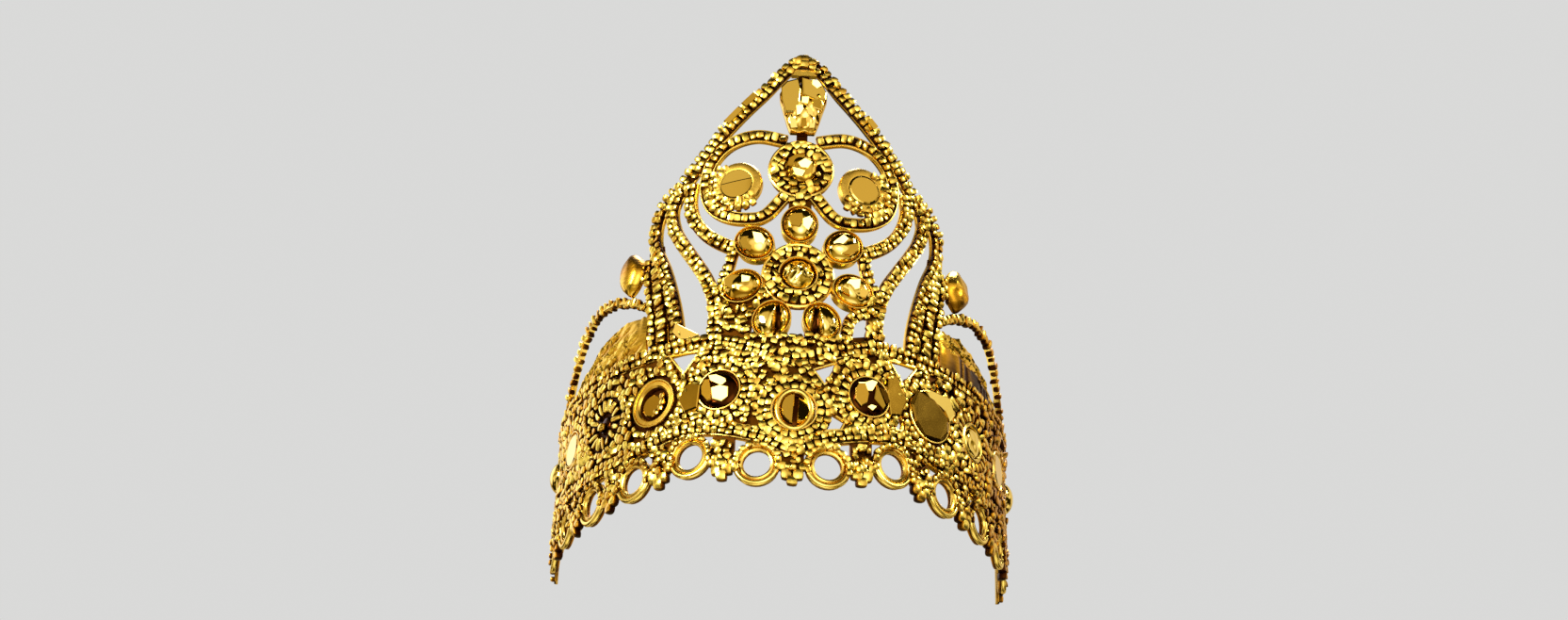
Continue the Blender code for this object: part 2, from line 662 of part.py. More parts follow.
def main():
    """Makes every piece of the crown."""
    head_band()
    front_panel()
    polished_pieces()
    settings()
    wings()
    bpy.data.collections.remove(BENCH)


main()
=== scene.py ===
# %% [markdown]
# # A small gold crown for a figure of a deity
#
# The crown is goldsmith's work. Wires, strips, rings and cups are laid out flat, rows of gold grains
# are soldered on them, and the flat work is then bent round an oval former. Polished buttons, cut
# discs and a drop are set into it. This lesson makes it in that order. Everything is laid out on a
# flat bench in millimetres, with X across, Y up the crown and Z out towards the viewer. One last
# step bends it round the former and turns it to metres.

# %% Load the frame
import math
from functools import partial

import bpy
import numpy as np
from mathutils import Matrix


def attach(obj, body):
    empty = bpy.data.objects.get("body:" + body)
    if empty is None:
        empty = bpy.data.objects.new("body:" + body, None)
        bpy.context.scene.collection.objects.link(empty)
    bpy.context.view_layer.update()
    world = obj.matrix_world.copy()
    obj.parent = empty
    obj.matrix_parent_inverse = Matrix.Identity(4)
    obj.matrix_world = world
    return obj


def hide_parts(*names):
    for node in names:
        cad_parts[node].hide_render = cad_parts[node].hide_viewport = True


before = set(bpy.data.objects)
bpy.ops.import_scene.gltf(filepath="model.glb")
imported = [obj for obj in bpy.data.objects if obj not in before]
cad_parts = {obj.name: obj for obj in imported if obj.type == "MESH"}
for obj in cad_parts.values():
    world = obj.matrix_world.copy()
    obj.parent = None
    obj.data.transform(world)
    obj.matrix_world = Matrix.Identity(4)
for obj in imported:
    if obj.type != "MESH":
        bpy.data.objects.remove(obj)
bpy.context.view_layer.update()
print("nodes:", len(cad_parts))

# %% [markdown]
# ## The measures
#
# These are the sizes of the flat work, the same as the solids have. Heights are above the floor, and
# places along the band are counted from the centre line. The two halves are alike, so a route is
# given once, for the right-hand side.

# %% Measures in millimetres
FORMER_HALF_WIDTH = 22.4
FORMER_FRONT = 27.0
PLAN_CENTRE = 14.0125
FRONT_RADIUS = 19.0

GRAIN_PITCH = 0.76
GRAIN_WIDTH = 0.66
GRAIN_HEIGHT = 0.62
GRAIN_TIP = 0.17
GRAIN_STOOP = 0.06
GRAIN_OUT = 0.14
SOWN_OUT = 0.12
SOWN_PITCH = 0.71
SOWN_HEIGHT = 0.74
SIDE_DARKENING = (0.45, 0.9)
DARKENING_START = 12.0
DARKENING_REACH = 14.0
SHARP_ANGLE = 38
FACE_SHARE = 0.9
FACE_BEVEL = 0.07

FRINGE_PITCH = 6.45
FRINGE_LIFTS = (0.0, 1.3, 0.35, 0.0, 0.0, 0.0)
FRINGE_HEIGHT = 2.23
FRINGE_INNER = 1.44
FRINGE_OUTER = 1.92
BAND_END = 6 * FRINGE_PITCH
BAND_TOP = 15.15
BORDER_HALF = 0.6
LOWER_BORDER_RISE = 2.88
LOWER_BORDER_DIP = 3.86
SETTING_PITCH = 7.0
SETTING_HEIGHT = 9.85
CENTRE_SETTING_HEIGHT = 7.6
SETTING_OUTER = 3.57
SETTING_REACH = 3.3
SHEET_BACK = -0.44
DOME_BACK = -0.28
PANEL_RISE = 0.76
PANEL_FOOT = BAND_TOP + PANEL_RISE

PEAK_BAR_HEIGHT = 44.55
ROSETTE_HEIGHT = 33.45
FLOWER_HEIGHT = 21.75
DISC_PLACE = (6.2, 31.9)
PETALS = 7
PETAL_REACH = 5.393
PETAL_RADIUS = 1.8
PETAL_STRETCH = 1.16
PETAL_DOME = 1.56
CUP_CLEAR = 1.9
BUTTON_RADIUS = 1.66
DISC_RADIUS = 1.52
STUD_PLACE = (18.1, 25.0)
STUD_HALF_WIDTH = 1.6
STUD_HALF_HEIGHT = 2.35

ARCH_ROUTE = [(0.0, 45.9), (4.2, 41.9), (8.3, 37.6), (11.3, 33.9), (12.8, 31.9), (13.3, 30.2), (12.8, 28.2),
              (11.7, 26.3), (10.3, 24.2), (9.0, 22.1), (8.1, 19.8), (7.8, 17.6), (7.9, 15.95)]
SIDE_ROUTE = [(12.2, 33.0), (13.9, 31.8), (15.0, 30.2), (15.3, 28.4), (15.0, 26.6), (13.9, 24.3),
              (13.0, 21.8), (12.3, 19.4), (11.9, 17.4), (11.8, 15.95)]
SECOND_ROUTE = [(15.3, 27.0), (14.95, 24.6), (14.3, 21.5), (13.7, 18.6), (13.4, 15.95)]
THIRD_ROUTE = [(15.85, 26.0), (15.9, 23.6), (15.5, 21.2), (15.0, 18.4), (14.8, 15.95)]
INNER_ROUTE = [(11.0, 33.0), (11.2, 31.0), (10.7, 29.0), (9.5, 27.2), (8.0, 25.9), (6.1, 24.8)]
SCROLL_ROUTE = [(1.5, 36.6), (4.4, 37.3), (6.9, 36.8), (8.6, 35.4), (9.4, 33.6), (9.4, 31.6), (8.6, 29.7),
                (7.0, 28.5), (5.0, 28.0), (3.3, 28.3), (1.4, 30.5)]
TIE_ROUTE = [(6.3, 24.7), (6.8, 22.6), (7.7, 20.3)]
DIP_ROUTE = [(0.0, 12.75), (3.1, 13.75), (5.6, 14.6), (8.0, 15.15)]
WING_ROUTE = [(16.5, 21.0), (18.6, 22.1), (21.2, 22.9), (24.2, 23.0), (27.0, 21.9), (29.8, 19.7),
              (32.0, 17.6), (33.6, 15.95)]
WING_FOOT = (15.9, 20.6)
LEAF_TOP = [(15.5, 19.5), (18.5, 19.91), (22.5, 19.03), (28.7, 16.11)]
CHANCE = np.random.default_rng(11)
print("grains are", GRAIN_WIDTH, "mm wide and", GRAIN_PITCH, "mm apart")

# %% [markdown]
# ## Bending and laying out
#
# The former is the front of an oval. Flat work keeps its length when it is bent, so a place along the
# bench becomes the same length along the oval. A modifier could bend the finished mesh. Here the
# points are bent before they go into it, so every object stays at the origin with nothing left to
# apply.


# %% The bend
def former_table():
    """The oval's angle at each length along it, from the middle of its front.

    The length adds up short steps, each the oval's speed times the change of angle."""
    angle = np.linspace(-math.pi, math.pi, 1441)
    speed = np.hypot(FORMER_HALF_WIDTH * np.cos(angle), FORMER_FRONT * np.sin(angle))
    length = np.concatenate(([0.0], np.cumsum((speed[1:] + speed[:-1]) / 2 * np.diff(angle))))
    return length - length[720], angle


FORMER_LENGTHS, FORMER_ANGLES = former_table()
print("the whole oval is", round(2 * FORMER_LENGTHS[-1]), "mm round")


def bend(points):
    """Flat points (across, up, out) in millimetres, carried round the oval and given in metres.

    The length across gives an angle, and a point is the oval's at that angle, moved out along the
    oval's normal there. Its height stays."""
    across, up, out = points.T
    angle = np.interp(across, FORMER_LENGTHS, FORMER_ANGLES)
    normal = np.stack((np.sin(angle) / FORMER_HALF_WIDTH, -np.cos(angle) / FORMER_FRONT))
    normal = normal / np.hypot(*normal)
    x = FORMER_HALF_WIDTH * np.sin(angle) + out * normal[0]
    y = PLAN_CENTRE - FORMER_FRONT * np.cos(angle) + out * normal[1]
    return np.column_stack((x, y, up)) * 0.001


# %% [markdown]
# Every wire, rim and row of grains follows a route on the bench. A route is a few chosen points with a
# smooth curve through them, or a part of a circle or an oval. The curve is worked out here instead of
# taken from a Blender curve, because grains need to be counted off along it at an even pitch.


# %% Routes
def smooth(points, step=0.35):
    """A smooth curve through points, as evenly spaced points about a step apart.

    Between two points it is the cubic that has, at each, half the way between its two neighbours as
    its slope."""
    points = np.asarray(points, dtype=float)
    before = np.vstack((2 * points[0] - points[1], points[:-1]))
    after = np.vstack((points[1:], 2 * points[-1] - points[-2]))
    slopes = (after - before) / 2
    share = np.linspace(0.0, 1.0, 24, endpoint=False)[None, :, None]
    start, end = points[:-1, None], points[1:, None]
    first, second = slopes[:-1, None], slopes[1:, None]
    dense = ((2 * share**3 - 3 * share**2 + 1) * start + (share**3 - 2 * share**2 + share) * first
             + (3 * share**2 - 2 * share**3) * end + (share**3 - share**2) * second)
    return evenly(np.vstack((dense.reshape(-1, 2), points[-1:])), step)


def evenly(route, step):
    """The same route with its points about a step apart."""
    along = np.concatenate(([0.0], np.cumsum(np.hypot(*np.diff(route, axis=0).T))))
    stops = np.linspace(0.0, along[-1], max(2, round(along[-1] / step) + 1))
    return np.column_stack([np.interp(stops, along, route[:, axis]) for axis in (0, 1)])


def flip(route, side):
    """A right-hand route as it is, or mirrored to the left."""
    return [(side * across, up) for across, up in route]


def circle(place, radius, first=0.0, last=360.0, step=0.35):
    """A round route, anticlockwise between two angles in degrees. A full circle ends where it starts.

    A point is the middle plus the radius along the cosine and sine of its angle."""
    turn = np.radians(np.linspace(first, last, max(8, round(radius * math.radians(last - first) / step)) + 1))
    return np.column_stack((place[0] + radius * np.cos(turn), place[1] + radius * np.sin(turn)))


def oval(place, along, beside, lie=0.0, step=0.35):
    """An oval route: a circle stretched along and beside, and then turned to lie at an angle."""
    ring = circle((0.0, 0.0), 1.0, step=step / along)
    far, near = along * ring[:, 0], beside * ring[:, 1]
    return np.column_stack((place[0] + far * math.cos(lie) - near * math.sin(lie),
                            place[1] + far * math.sin(lie) + near * math.cos(lie)))


def headings(route):
    """The direction of the route at each of its points, as unit vectors."""
    way = np.gradient(route, axis=0)
    if np.allclose(route[0], route[-1]):
        way[0] = way[-1] = route[1] - route[-2]
    return way / np.hypot(*way.T)[:, None]


# %% [markdown]
# ## The flat work
#
# A tray collects what is soldered together. Each bit is added with its gold, a tone that varies from
# grain to grain, and a depth, which is 0 on what stands proud and 1 down in the joints. Real grains
# are bright where they are rubbed and deep amber in the joints, where solder and tarnish stay. The
# depth darkens the colour for that tarnish, and it also paints the shade that falls in the joints and
# under the grains. One object for each grain would be thousands, so a tray becomes a single mesh in
# the end.

# %% A tray of gold work
GRAINS, WIRE, BED, CUT, LEAF = range(5)


class Tray:
    """Flat work on the bench: points, faces, and the gold, tone and depth of each."""

    def __init__(self):
        self.points, self.faces, self.golds, self.flats, self.tones, self.depths = [], [], [], [], [], []
        self.count = 0

    def add(self, points, faces, gold, tone=0.5, depth=0.0, flat=False):
        """Adds points (n, 3) and groups of faces, each group an array (m, corners)."""
        for group in faces:
            self.faces.append(group + self.count)
            self.golds.append(np.full(len(group), gold))
            self.flats.append(np.full(len(group), flat))
        self.points.append(points)
        self.tones.append(np.broadcast_to(tone, len(points)))
        self.depths.append(np.broadcast_to(depth, len(points)))
        self.count += len(points)


# %% [markdown]
# ## Wires, rims and strips
#
# A goldsmith draws wire through a plate with a hole. Here too a strip or a wire is one section drawn
# along its route. The section is given as points (sideways, out), in the order that makes its faces
# look outward. An open wire is closed by its ends. A bevelled curve would look the same, but it
# couldn't carry the depth that darkens the joints.


# %% Sections drawn along routes
def sweep(tray, route, section, gold, tone=0.5, depth=0.0):
    """Draws a section along a route: each point is the route's, moved sideways, and lifted out."""
    closed = np.allclose(route[0], route[-1])
    way = headings(route)
    if closed:
        route, way = route[:-1], way[:-1]
    right = np.column_stack((way[:, 1], -way[:, 0]))
    section = np.asarray(section)
    flat = route[:, None, :] + right[:, None, :] * section[None, :, :1]
    out = np.broadcast_to(section[None, :, 1:], flat.shape[:2] + (1,))
    points = np.concatenate((flat, out), axis=2).reshape(-1, 3)
    rings, corners = len(route), len(section)
    number = np.arange(rings * corners).reshape(rings, corners)
    ahead = np.roll(number, -1, axis=0) if closed else number[1:]
    here = number if closed else number[:-1]
    around = (here, ahead, np.roll(ahead, -1, axis=1), np.roll(here, -1, axis=1))
    faces = [np.stack(around, axis=-1).reshape(-1, 4)]
    if not closed:
        faces += [number[:1], number[-1:, ::-1]]
    tray.add(points, faces, gold, tone, np.tile(np.broadcast_to(depth, corners), rings))


def round_section(radius, out=0.0, sideways=0.0, corners=8):
    """The section of a drawn wire: a few corners on a circle."""
    turn = np.arange(corners) * 2 * math.pi / corners
    return np.column_stack((sideways + radius * np.cos(turn), out + radius * np.sin(turn)))


def strip_section(half_width, low, high, bevel=0.06):
    """The section of a flat strip with its upper edges rubbed round. Its first two corners are the back."""
    return [(-half_width, low), (half_width, low), (half_width, high - bevel), (half_width - bevel, high),
            (-half_width + bevel, high), (-half_width, high - bevel)]


# The front of a dark strip is dark with solder and painted shade, and its back is bright.
DARK_FRONT = (0.1, 0.1, 0.9, 0.9, 0.9, 0.9)


def dark_strip(tray, route, half_width, low, high):
    """The strip that other work is soldered on.

    Its front is dark, partly with solder and partly as painted shade under that work, and its back is bright.
    """
    sweep(tray, route, strip_section(half_width, low, high), BED, depth=DARK_FRONT)


# %% [markdown]
# ## Grains
#
# A grain was a clipping of gold that was melted to a ball, and was then pressed against its
# neighbours, so it is between a ball and a block. One form of 54 small faces is made. Instances of it
# would be lighter, but each grain here is turned, stretched and toned a little differently, and all
# of them are worked out as one array.

# %% One grain
GRAIN_BALL, GRAIN_BLOCK = 0.62, 0.304


def grain_form():
    """A cube's surface, three squares by three, blown out more than halfway to a ball.

    Each point is a share of its direction's place on the ball plus a share of its place on the cube."""
    steps = np.linspace(-1.0, 1.0, 4)
    lattice = np.stack(np.meshgrid(steps, steps, steps, indexing="ij"), axis=-1)
    shell = np.abs(lattice).max(axis=-1) > 0.99
    number = np.cumsum(shell).reshape(shell.shape) - 1
    faces = []
    for axis in range(3):
        for end in (0, -1):
            sheet = np.take(number, end, axis=axis)
            quads = np.stack((sheet[:-1, :-1], sheet[1:, :-1], sheet[1:, 1:], sheet[:-1, 1:]), axis=-1)
            quads = quads.reshape(-1, 4)
            faces.append(quads[:, ::-1] if (end == 0) != (axis == 1) else quads)
    block = lattice[shell]
    ball = block / np.linalg.norm(block, axis=1)[:, None]
    form = GRAIN_BALL * ball + GRAIN_BLOCK * block
    return form / form.max(), np.vstack(faces)


GRAIN_POINTS, GRAIN_FACES = grain_form()
print("one grain has", len(GRAIN_FACES), "faces")


# %% Grains set in their places
def add_grains(tray, places, turns, sizes, gold=GRAINS):
    """A grain at each place (n, 3), turned in the plane, stretched to its size (n, 3) and tipped a little.

    Its depth grows from its top to its foot, partly as tarnish and partly as painted shade, and is
    greater on the grains towards the wings."""
    count, corners = len(places), len(GRAIN_POINTS)
    form = GRAIN_POINTS[None] * (sizes / 2)[:, None]
    cosine, sine = np.cos(turns)[:, None], np.sin(turns)[:, None]
    across = form[..., 0] * cosine - form[..., 1] * sine
    up = form[..., 0] * sine + form[..., 1] * cosine
    tips = CHANCE.normal(0.0, GRAIN_TIP, (count, 2, 1))
    out = form[..., 2] + across * tips[:, 0] + up * (tips[:, 1] + GRAIN_STOOP)
    points = np.stack((across, up, out), axis=-1) + places[:, None]
    faces = GRAIN_FACES[None] + (np.arange(count) * corners)[:, None, None]
    tones = np.repeat(CHANCE.random(count), corners)
    # Grains towards the wings are made darker, those on the right more than those on the left.
    aside = np.clip((np.abs(places[:, 0]) - DARKENING_START) / DARKENING_REACH, 0.0, 1.0)
    side_darkening = np.where(places[:, 0] < 0.0, *SIDE_DARKENING) * aside
    # The foot of each grain is darker: tarnish in the joint, and painted shade between the grains.
    depths = np.clip(1.3 - 2.0 * GRAIN_POINTS[:, 2] + side_darkening[:, None], 0.0, 1.0).ravel()
    tray.add(points.reshape(-1, 3), [faces.reshape(-1, 4)], gold, tones, depths)


def single_grains(tray, places, sizes, gold=GRAINS):
    """A few grains set one by one, with a size for each or one for all."""
    places = np.array(places)
    add_grains(tray, places, np.zeros(len(places)), np.broadcast_to(sizes, places.shape), gold)


def sun(tray, place, radius, count, size):
    """Long grains set on a circle round a place at equal angles, each pointing away from it."""
    turn = np.arange(count) * 2 * math.pi / count
    across, up = place[0] + radius * np.cos(turn), place[1] + radius * np.sin(turn)
    places = np.column_stack((across, up, np.full(count, GRAIN_OUT)))
    add_grains(tray, places, turn, np.full((count, 3), size))


# %% Rows of grains
def grain_row(tray, route, sideways=0.0, out=GRAIN_OUT, width=GRAIN_WIDTH, height=GRAIN_HEIGHT,
              pitch=GRAIN_PITCH, rough=0.1, fill=0.88):
    """A row of grains along a route, moved sideways, each a little off in size, place and turn.

    Each grain fills a share of its pitch, and the rest is the dark joint to the next."""
    closed = np.allclose(route[0], route[-1])
    stops = evenly(route, pitch)
    stops = stops[:-1] if closed else (stops[1:] + stops[:-1]) / 2
    way = np.roll(stops, -1, axis=0) - np.roll(stops, 1, axis=0) if closed else np.gradient(stops, axis=0)
    way = way / np.hypot(*way.T)[:, None]
    places = stops + np.column_stack((way[:, 1], -way[:, 0])) * sideways
    count = len(places)
    spacing = np.hypot(*np.diff(places, axis=0).T).mean() if count > 1 else pitch
    wobble = CHANCE.normal(0.0, rough, (count, 6))
    sizes = np.array((spacing * fill, width, height)) * (1.0 + wobble[:, :3])
    places = np.column_stack((places, np.full(count, out))) + wobble[:, 3:] * (0.4, 0.4, 0.5)
    add_grains(tray, places, np.arctan2(way[:, 1], way[:, 0]) + wobble[:, 0] * 2, sizes)


def grained_wire(tray, route, rows=2, width=1.3, thick=0.9, rims=(), row_gap=0.62, height=GRAIN_HEIGHT,
                 grain=0.0, proud=0.0):
    """A strip with rows of grains soldered along it, and a plain rim on the sides that are named.

    The grains of two rows sit side by side and touch. The first row can stand proud of the second."""
    half = width / 2
    sweep(tray, route, strip_section(half, -thick / 2, -0.12), WIRE, depth=(0.0, 0.0, 0.3, 0.3, 0.3, 0.3))
    # The bed between the grains is dark, partly solder and partly painted shade.
    sweep(tray, route, strip_section(half - 0.05, -0.2, -0.04), BED, depth=0.9)
    for side in rims:
        sweep(tray, route, round_section(0.1, 0.06, side * (half - 0.06), 6), WIRE)
    for row in range(rows):
        grain_row(tray, route, (row - (rows - 1) / 2) * row_gap, width=grain or row_gap * 1.1,
                  out=thick / 2 - height / 2 + proud * (0.5 - row), height=height, fill=0.86)


# %% [markdown]
# ## Sheets of grains
#
# Where wires leave a corner between them, the maker put in a thin sheet and sowed it with grains.
# A sheet lies between a lower and an upper edge, both given along the bench. The grains could be
# scattered freely, but real ones are pushed together, so they start as staggered rows and are then
# disturbed.


# %% Sheets, and grains sown on them
def sheet(tray, across, low, high, back, front, gold=BED, depth=0.8):
    """A thin plate between two edges, made of narrow columns so that it bends."""
    count = len(across)
    low, high = np.broadcast_to(low, count), np.broadcast_to(high, count)
    corners = [(low, front), (high, front), (high, back), (low, back)]
    points = np.stack([np.column_stack((across, up, np.full(count, out))) for up, out in corners], axis=1)
    number = np.arange(4 * count).reshape(count, 4)
    around = (number[:-1], number[1:], np.roll(number[1:], -1, axis=1), np.roll(number[:-1], -1, axis=1))
    faces = np.stack(around, axis=-1).reshape(-1, 4)
    # By default the front is dark, painted shade under the grains sown on it, and the back is bright.
    depths = np.tile((depth, depth, 0.1, 0.1), count)
    tray.add(points.reshape(-1, 3), [faces, number[:1, ::-1], number[-1:]], gold, 0.5, depths)


def sow(tray, across, low, high, out=SOWN_OUT, spacing=SOWN_PITCH, size=GRAIN_WIDTH):
    """Grains close together on a sheet, in staggered rows that are a little disturbed.

    None is moved or made so far back that it comes out behind the sheet."""
    low, high = np.broadcast_to(low, len(across)), np.broadcast_to(high, len(across))
    columns = np.arange(across[0] + spacing / 2, across[-1] - spacing * 0.3, spacing)
    rows = np.arange(low.min(), high.max() + spacing, spacing * 0.87)
    grid_across, grid_up = np.meshgrid(columns, rows)
    grid_across = grid_across + (np.arange(len(rows)) % 2)[:, None] * spacing / 2
    margin = spacing * 0.34
    floor, roof = np.interp(grid_across, across, low), np.interp(grid_across, across, high)
    inside = (grid_up > floor + margin) & (grid_up < roof - margin) & (grid_across < across[-1] - margin)
    places = np.column_stack((grid_across[inside], grid_up[inside], np.full(inside.sum(), out)))
    wobble = np.clip(CHANCE.normal(0.0, 0.12, (len(places), 3)), (-1.0, -1.0, -0.05), 1.0)
    sizes = size * np.clip(1.0 + CHANCE.normal(0.0, 0.2, (len(places), 3)), 0.6, 1.3)
    sizes[:, 2] = np.minimum(sizes[:, 2], SOWN_HEIGHT)
    kept = CHANCE.random(len(places)) > 0.02
    turns = CHANCE.uniform(0.0, math.pi, kept.sum())
    add_grains(tray, (places + wobble)[kept], turns, sizes[kept])


def grained_sheet(tray, across, low, high, front=0.0, past=(0.0, 0.0), **grains):
    """A sheet sown with grains, which go past its lower and upper edge by the lengths given."""
    sheet(tray, across, low, high, SHEET_BACK, front)
    sow(tray, across, low - past[0], high + past[1], **grains)


# %% [markdown]
# ## Turned and cut pieces
#
# Buttons and domes are round about their own middle. Each is a profile of (share of the radius, out)
# turned round, from the middle of the front over the edge to the middle of the back. A cut face is a
# small flat plate set on the front. It could be cut with a boolean, but a plate of its own keeps its
# edges sharp, and its slope can be chosen so that it mirrors a bright or a dark thing.


# %% Pieces turned round from a profile
def dark_ground(points):
    """Painted shade on the front of a piece, round and below what is set on it, whose back stays bright."""
    return np.where(points[:, 2] > -0.1, 1.0, 0.1)


def turned(tray, place, half_width, half_height, profile, columns=32, gold=CUT, warp=None, lie=0.0,
           darkening=None):
    """Turns a profile round. Its first and last points are on the middle line. It can lie at an angle.

    A point is its share of the half width and half height, along the cosine and sine of its turn."""
    profile = np.asarray(profile)
    turn = np.arange(columns) * 2 * math.pi / columns
    share, out = profile[1:-1, :1], profile[1:-1, 1:]
    across = share * np.cos(turn) * half_width
    up = share * np.sin(turn) * half_height
    middle = np.array([(0.0, 0.0, profile[0, 1]), (0.0, 0.0, profile[-1, 1])])
    rings = np.stack((across, up, np.broadcast_to(out, across.shape)), axis=-1).reshape(-1, 3)
    points = np.vstack((middle, rings))
    if warp is not None:
        points = warp(points)
    depth = 0.0 if darkening is None else darkening(points)
    across, up = points[:, 0].copy(), points[:, 1].copy()
    points[:, 0] = place[0] + across * math.cos(lie) - up * math.sin(lie)
    points[:, 1] = place[1] + across * math.sin(lie) + up * math.cos(lie)
    number = 2 + np.arange(len(share) * columns).reshape(-1, columns)
    after = np.roll(number, -1, axis=1)
    cap = np.column_stack((np.zeros(columns, dtype=int), number[0], after[0]))
    back = np.column_stack((np.ones(columns, dtype=int), after[-1], number[-1]))
    belts = np.stack((number[:-1], number[1:], after[1:], after[:-1]), axis=-1).reshape(-1, 4)
    tray.add(points, [cap, back, belts], gold, 0.5, depth)


def dome_profile(rise, rows=7, power=2.0):
    """A polished dome with a short wall and a flat back.

    Its height as a share of its rise and its share of the radius, each to the power, add up to one."""
    share = np.sin(np.linspace(0.0, math.pi / 2, rows + 1))
    front = np.column_stack((share, rise * np.clip(1.0 - share**power, 0.0, 1.0) ** (1.0 / power)))
    return np.vstack((front, [(1.0, DOME_BACK * 0.6), (0.95, DOME_BACK), (0.0, DOME_BACK)]))


# %% Cut faces and collars
def facet(tray, corners, out, thick=0.5, tilt=(0.0, 0.0), depth=0.25):
    """A small plate with its corners given in order round it, its face tilted by slopes across and up.

    The face is set back in the middle by as much as bending would push it out, so that it stays flat."""
    corners = np.asarray(corners, dtype=float)
    ahead = np.roll(corners, -1, axis=0)
    if (corners[:, 0] * ahead[:, 1] - ahead[:, 0] * corners[:, 1]).sum() < 0.0:
        corners = corners[::-1]
    count = len(corners)
    middle = corners.mean(axis=0)
    inner = middle + (corners - middle) * FACE_SHARE
    face = out + (inner - middle) @ np.array(tilt) + (inner - middle)[:, 0] ** 2 / (2 * FRONT_RADIUS)
    points = np.vstack((np.column_stack((inner, face)), np.column_stack((corners, face - FACE_BEVEL)),
                        np.column_stack((corners, np.full(count, out - thick)))))
    number = np.arange(count)
    after = np.roll(number, -1)
    belts = [np.stack((number + low, number + low + count, after + low + count, after + low), axis=-1)
             for low in (0, count)]
    tray.add(points, [number[None], *belts, (number + 2 * count)[None, ::-1]], CUT, 0.4, depth, True)


def cut_faces(tray, place, faces):
    """Cut faces on a piece, each given as corners from its middle, out, slopes and depth."""
    for corners, out, tilt, depth in faces:
        facet(tray, np.array(corners) + place, out, 0.5, tilt, depth)


def collar(tray, route, low, high, wall=0.22):
    """A thin upright collar round a setting."""
    half = wall / 2
    section = [(-half, low), (half, low), (half, high - half), (half * 0.5, high), (-half * 0.5, high),
               (-half, high - half)]
    sweep(tray, route, section, WIRE)


# %% [markdown]
# ## The golds
#
# All of it is yellow gold of a high carat. It differs in its surface: bright grains with amber
# joints, drawn wire with fine lines, the dull bed under the grains, polished cut faces and the satin
# of the leaves and studs. Colour and roughness vary with the tone and depth that the shapes carry, and
# depth also paints shade into the colour, in the joints and under the work. A painted image could do
# that, but two numbers on each point and a little noise stay sharp from close by.


# %% Helpers for materials
def new_material(name):
    """A new material, and its shader."""
    material = bpy.data.materials.new(name)
    material.use_nodes = True
    return material, material.node_tree.nodes["Principled BSDF"]


def feed(material, node, inputs):
    """Gives each named input of a node a value, or links it to another node's output."""
    for socket, value in inputs.items():
        if isinstance(value, bpy.types.NodeSocket):
            material.node_tree.links.new(value, node.inputs[socket])
        else:
            node.inputs[socket].default_value = value


def add_node(material, kind, inputs, output, **settings):
    """Adds a node with its settings and inputs, and gives the output that is named."""
    node = material.node_tree.nodes.new(kind)
    for setting, value in settings.items():
        setattr(node, setting, value)
    feed(material, node, inputs)
    return node.outputs[output]


# %% How a gold is made
# The colour at full depth: tarnish in the joints, and also painted shade in the joints, under the work and on
# darkened grounds.
JOINT_TARNISH_AND_SHADE = (0.035, 0.009, 0.001)
TONE_SHARE = 0.42
WEAR_SHARE = 0.5
DENT_DEPTH = 0.00005


def gold_material(name, bright, deep, polish, dull, bump, scale, streak=(1.0, 1.0, 1.0)):
    """A gold that goes from bright and polished to deep and dull with depth, and is lightly marked.

    Its deep colour stands for tarnish and for painted shade.
    """
    material, shader = new_material(name)
    add = partial(add_node, material)
    tone = add("ShaderNodeAttribute", {}, "Fac", attribute_name="tone")
    depth = add("ShaderNodeAttribute", {}, "Fac", attribute_name="depth")
    where = add("ShaderNodeTexCoord", {}, "Object")
    stretched = add("ShaderNodeMapping", {"Vector": where, "Scale": streak}, "Vector")
    cloud = add("ShaderNodeTexNoise", {"Vector": stretched, "Scale": scale, "Detail": 3.0}, "Fac")
    shade = add("ShaderNodeMath", {0: tone, 1: TONE_SHARE, 2: depth}, "Value", operation="MULTIPLY_ADD")
    limited = add("ShaderNodeMapRange", {"Value": shade, "From Min": 0.08, "From Max": 1.1}, "Result")
    colour = add("ShaderNodeValToRGB", {"Fac": limited}, "Color")
    ramp = colour.node.color_ramp.elements
    ramp[0].color, ramp[1].color = (*bright, 1.0), (*JOINT_TARNISH_AND_SHADE, 1.0)
    ramp.new(0.5).color = (*deep, 1.0)
    wear = add("ShaderNodeMath", {0: cloud, 1: WEAR_SHARE, 2: depth}, "Value", operation="MULTIPLY_ADD")
    rough = add("ShaderNodeMapRange", {"Value": wear, "To Min": polish, "To Max": dull}, "Result")
    dents = add("ShaderNodeBump", {"Height": cloud, "Strength": bump, "Distance": DENT_DEPTH}, "Normal")
    feed(material, shader, {"Metallic": 1.0, "Base Color": colour, "Roughness": rough, "Normal": dents})
    return material


# %% The five golds
GOLDS = {
    GRAINS: gold_material("grain_gold", (1.0, 0.77, 0.13), (0.60, 0.26, 0.009), 0.18, 0.42, 0.35, 2600.0),
    WIRE: gold_material("wire_gold", (1.0, 0.75, 0.15), (0.66, 0.33, 0.015), 0.2, 0.4, 0.3, 1800.0),
    BED: gold_material("bed_gold", (0.90, 0.60, 0.09), (0.34, 0.12, 0.005), 0.3, 0.55, 0.6, 2200.0),
    CUT: gold_material("cut_gold", (0.98, 0.77, 0.19), (0.72, 0.42, 0.04), 0.06, 0.16, 0.06, 700.0),
    LEAF: gold_material("leaf_gold", (1.0, 0.70, 0.08), (0.66, 0.32, 0.015), 0.16, 0.34, 0.8, 900.0,
                        (1.0, 1.0, 3.0)),
}
print("golds:", ", ".join(gold.name for gold in GOLDS.values()))

# %% [markdown]
# ## From the bench to the crown
#
# Now the flat work of a tray can be bent round the former and made an object. The points, corners and
# faces go into the mesh as whole arrays, which is much quicker than face by face. Tone and depth go
# with the points as attributes. Edges sharper than an angle stay sharp, so cut faces keep their line.


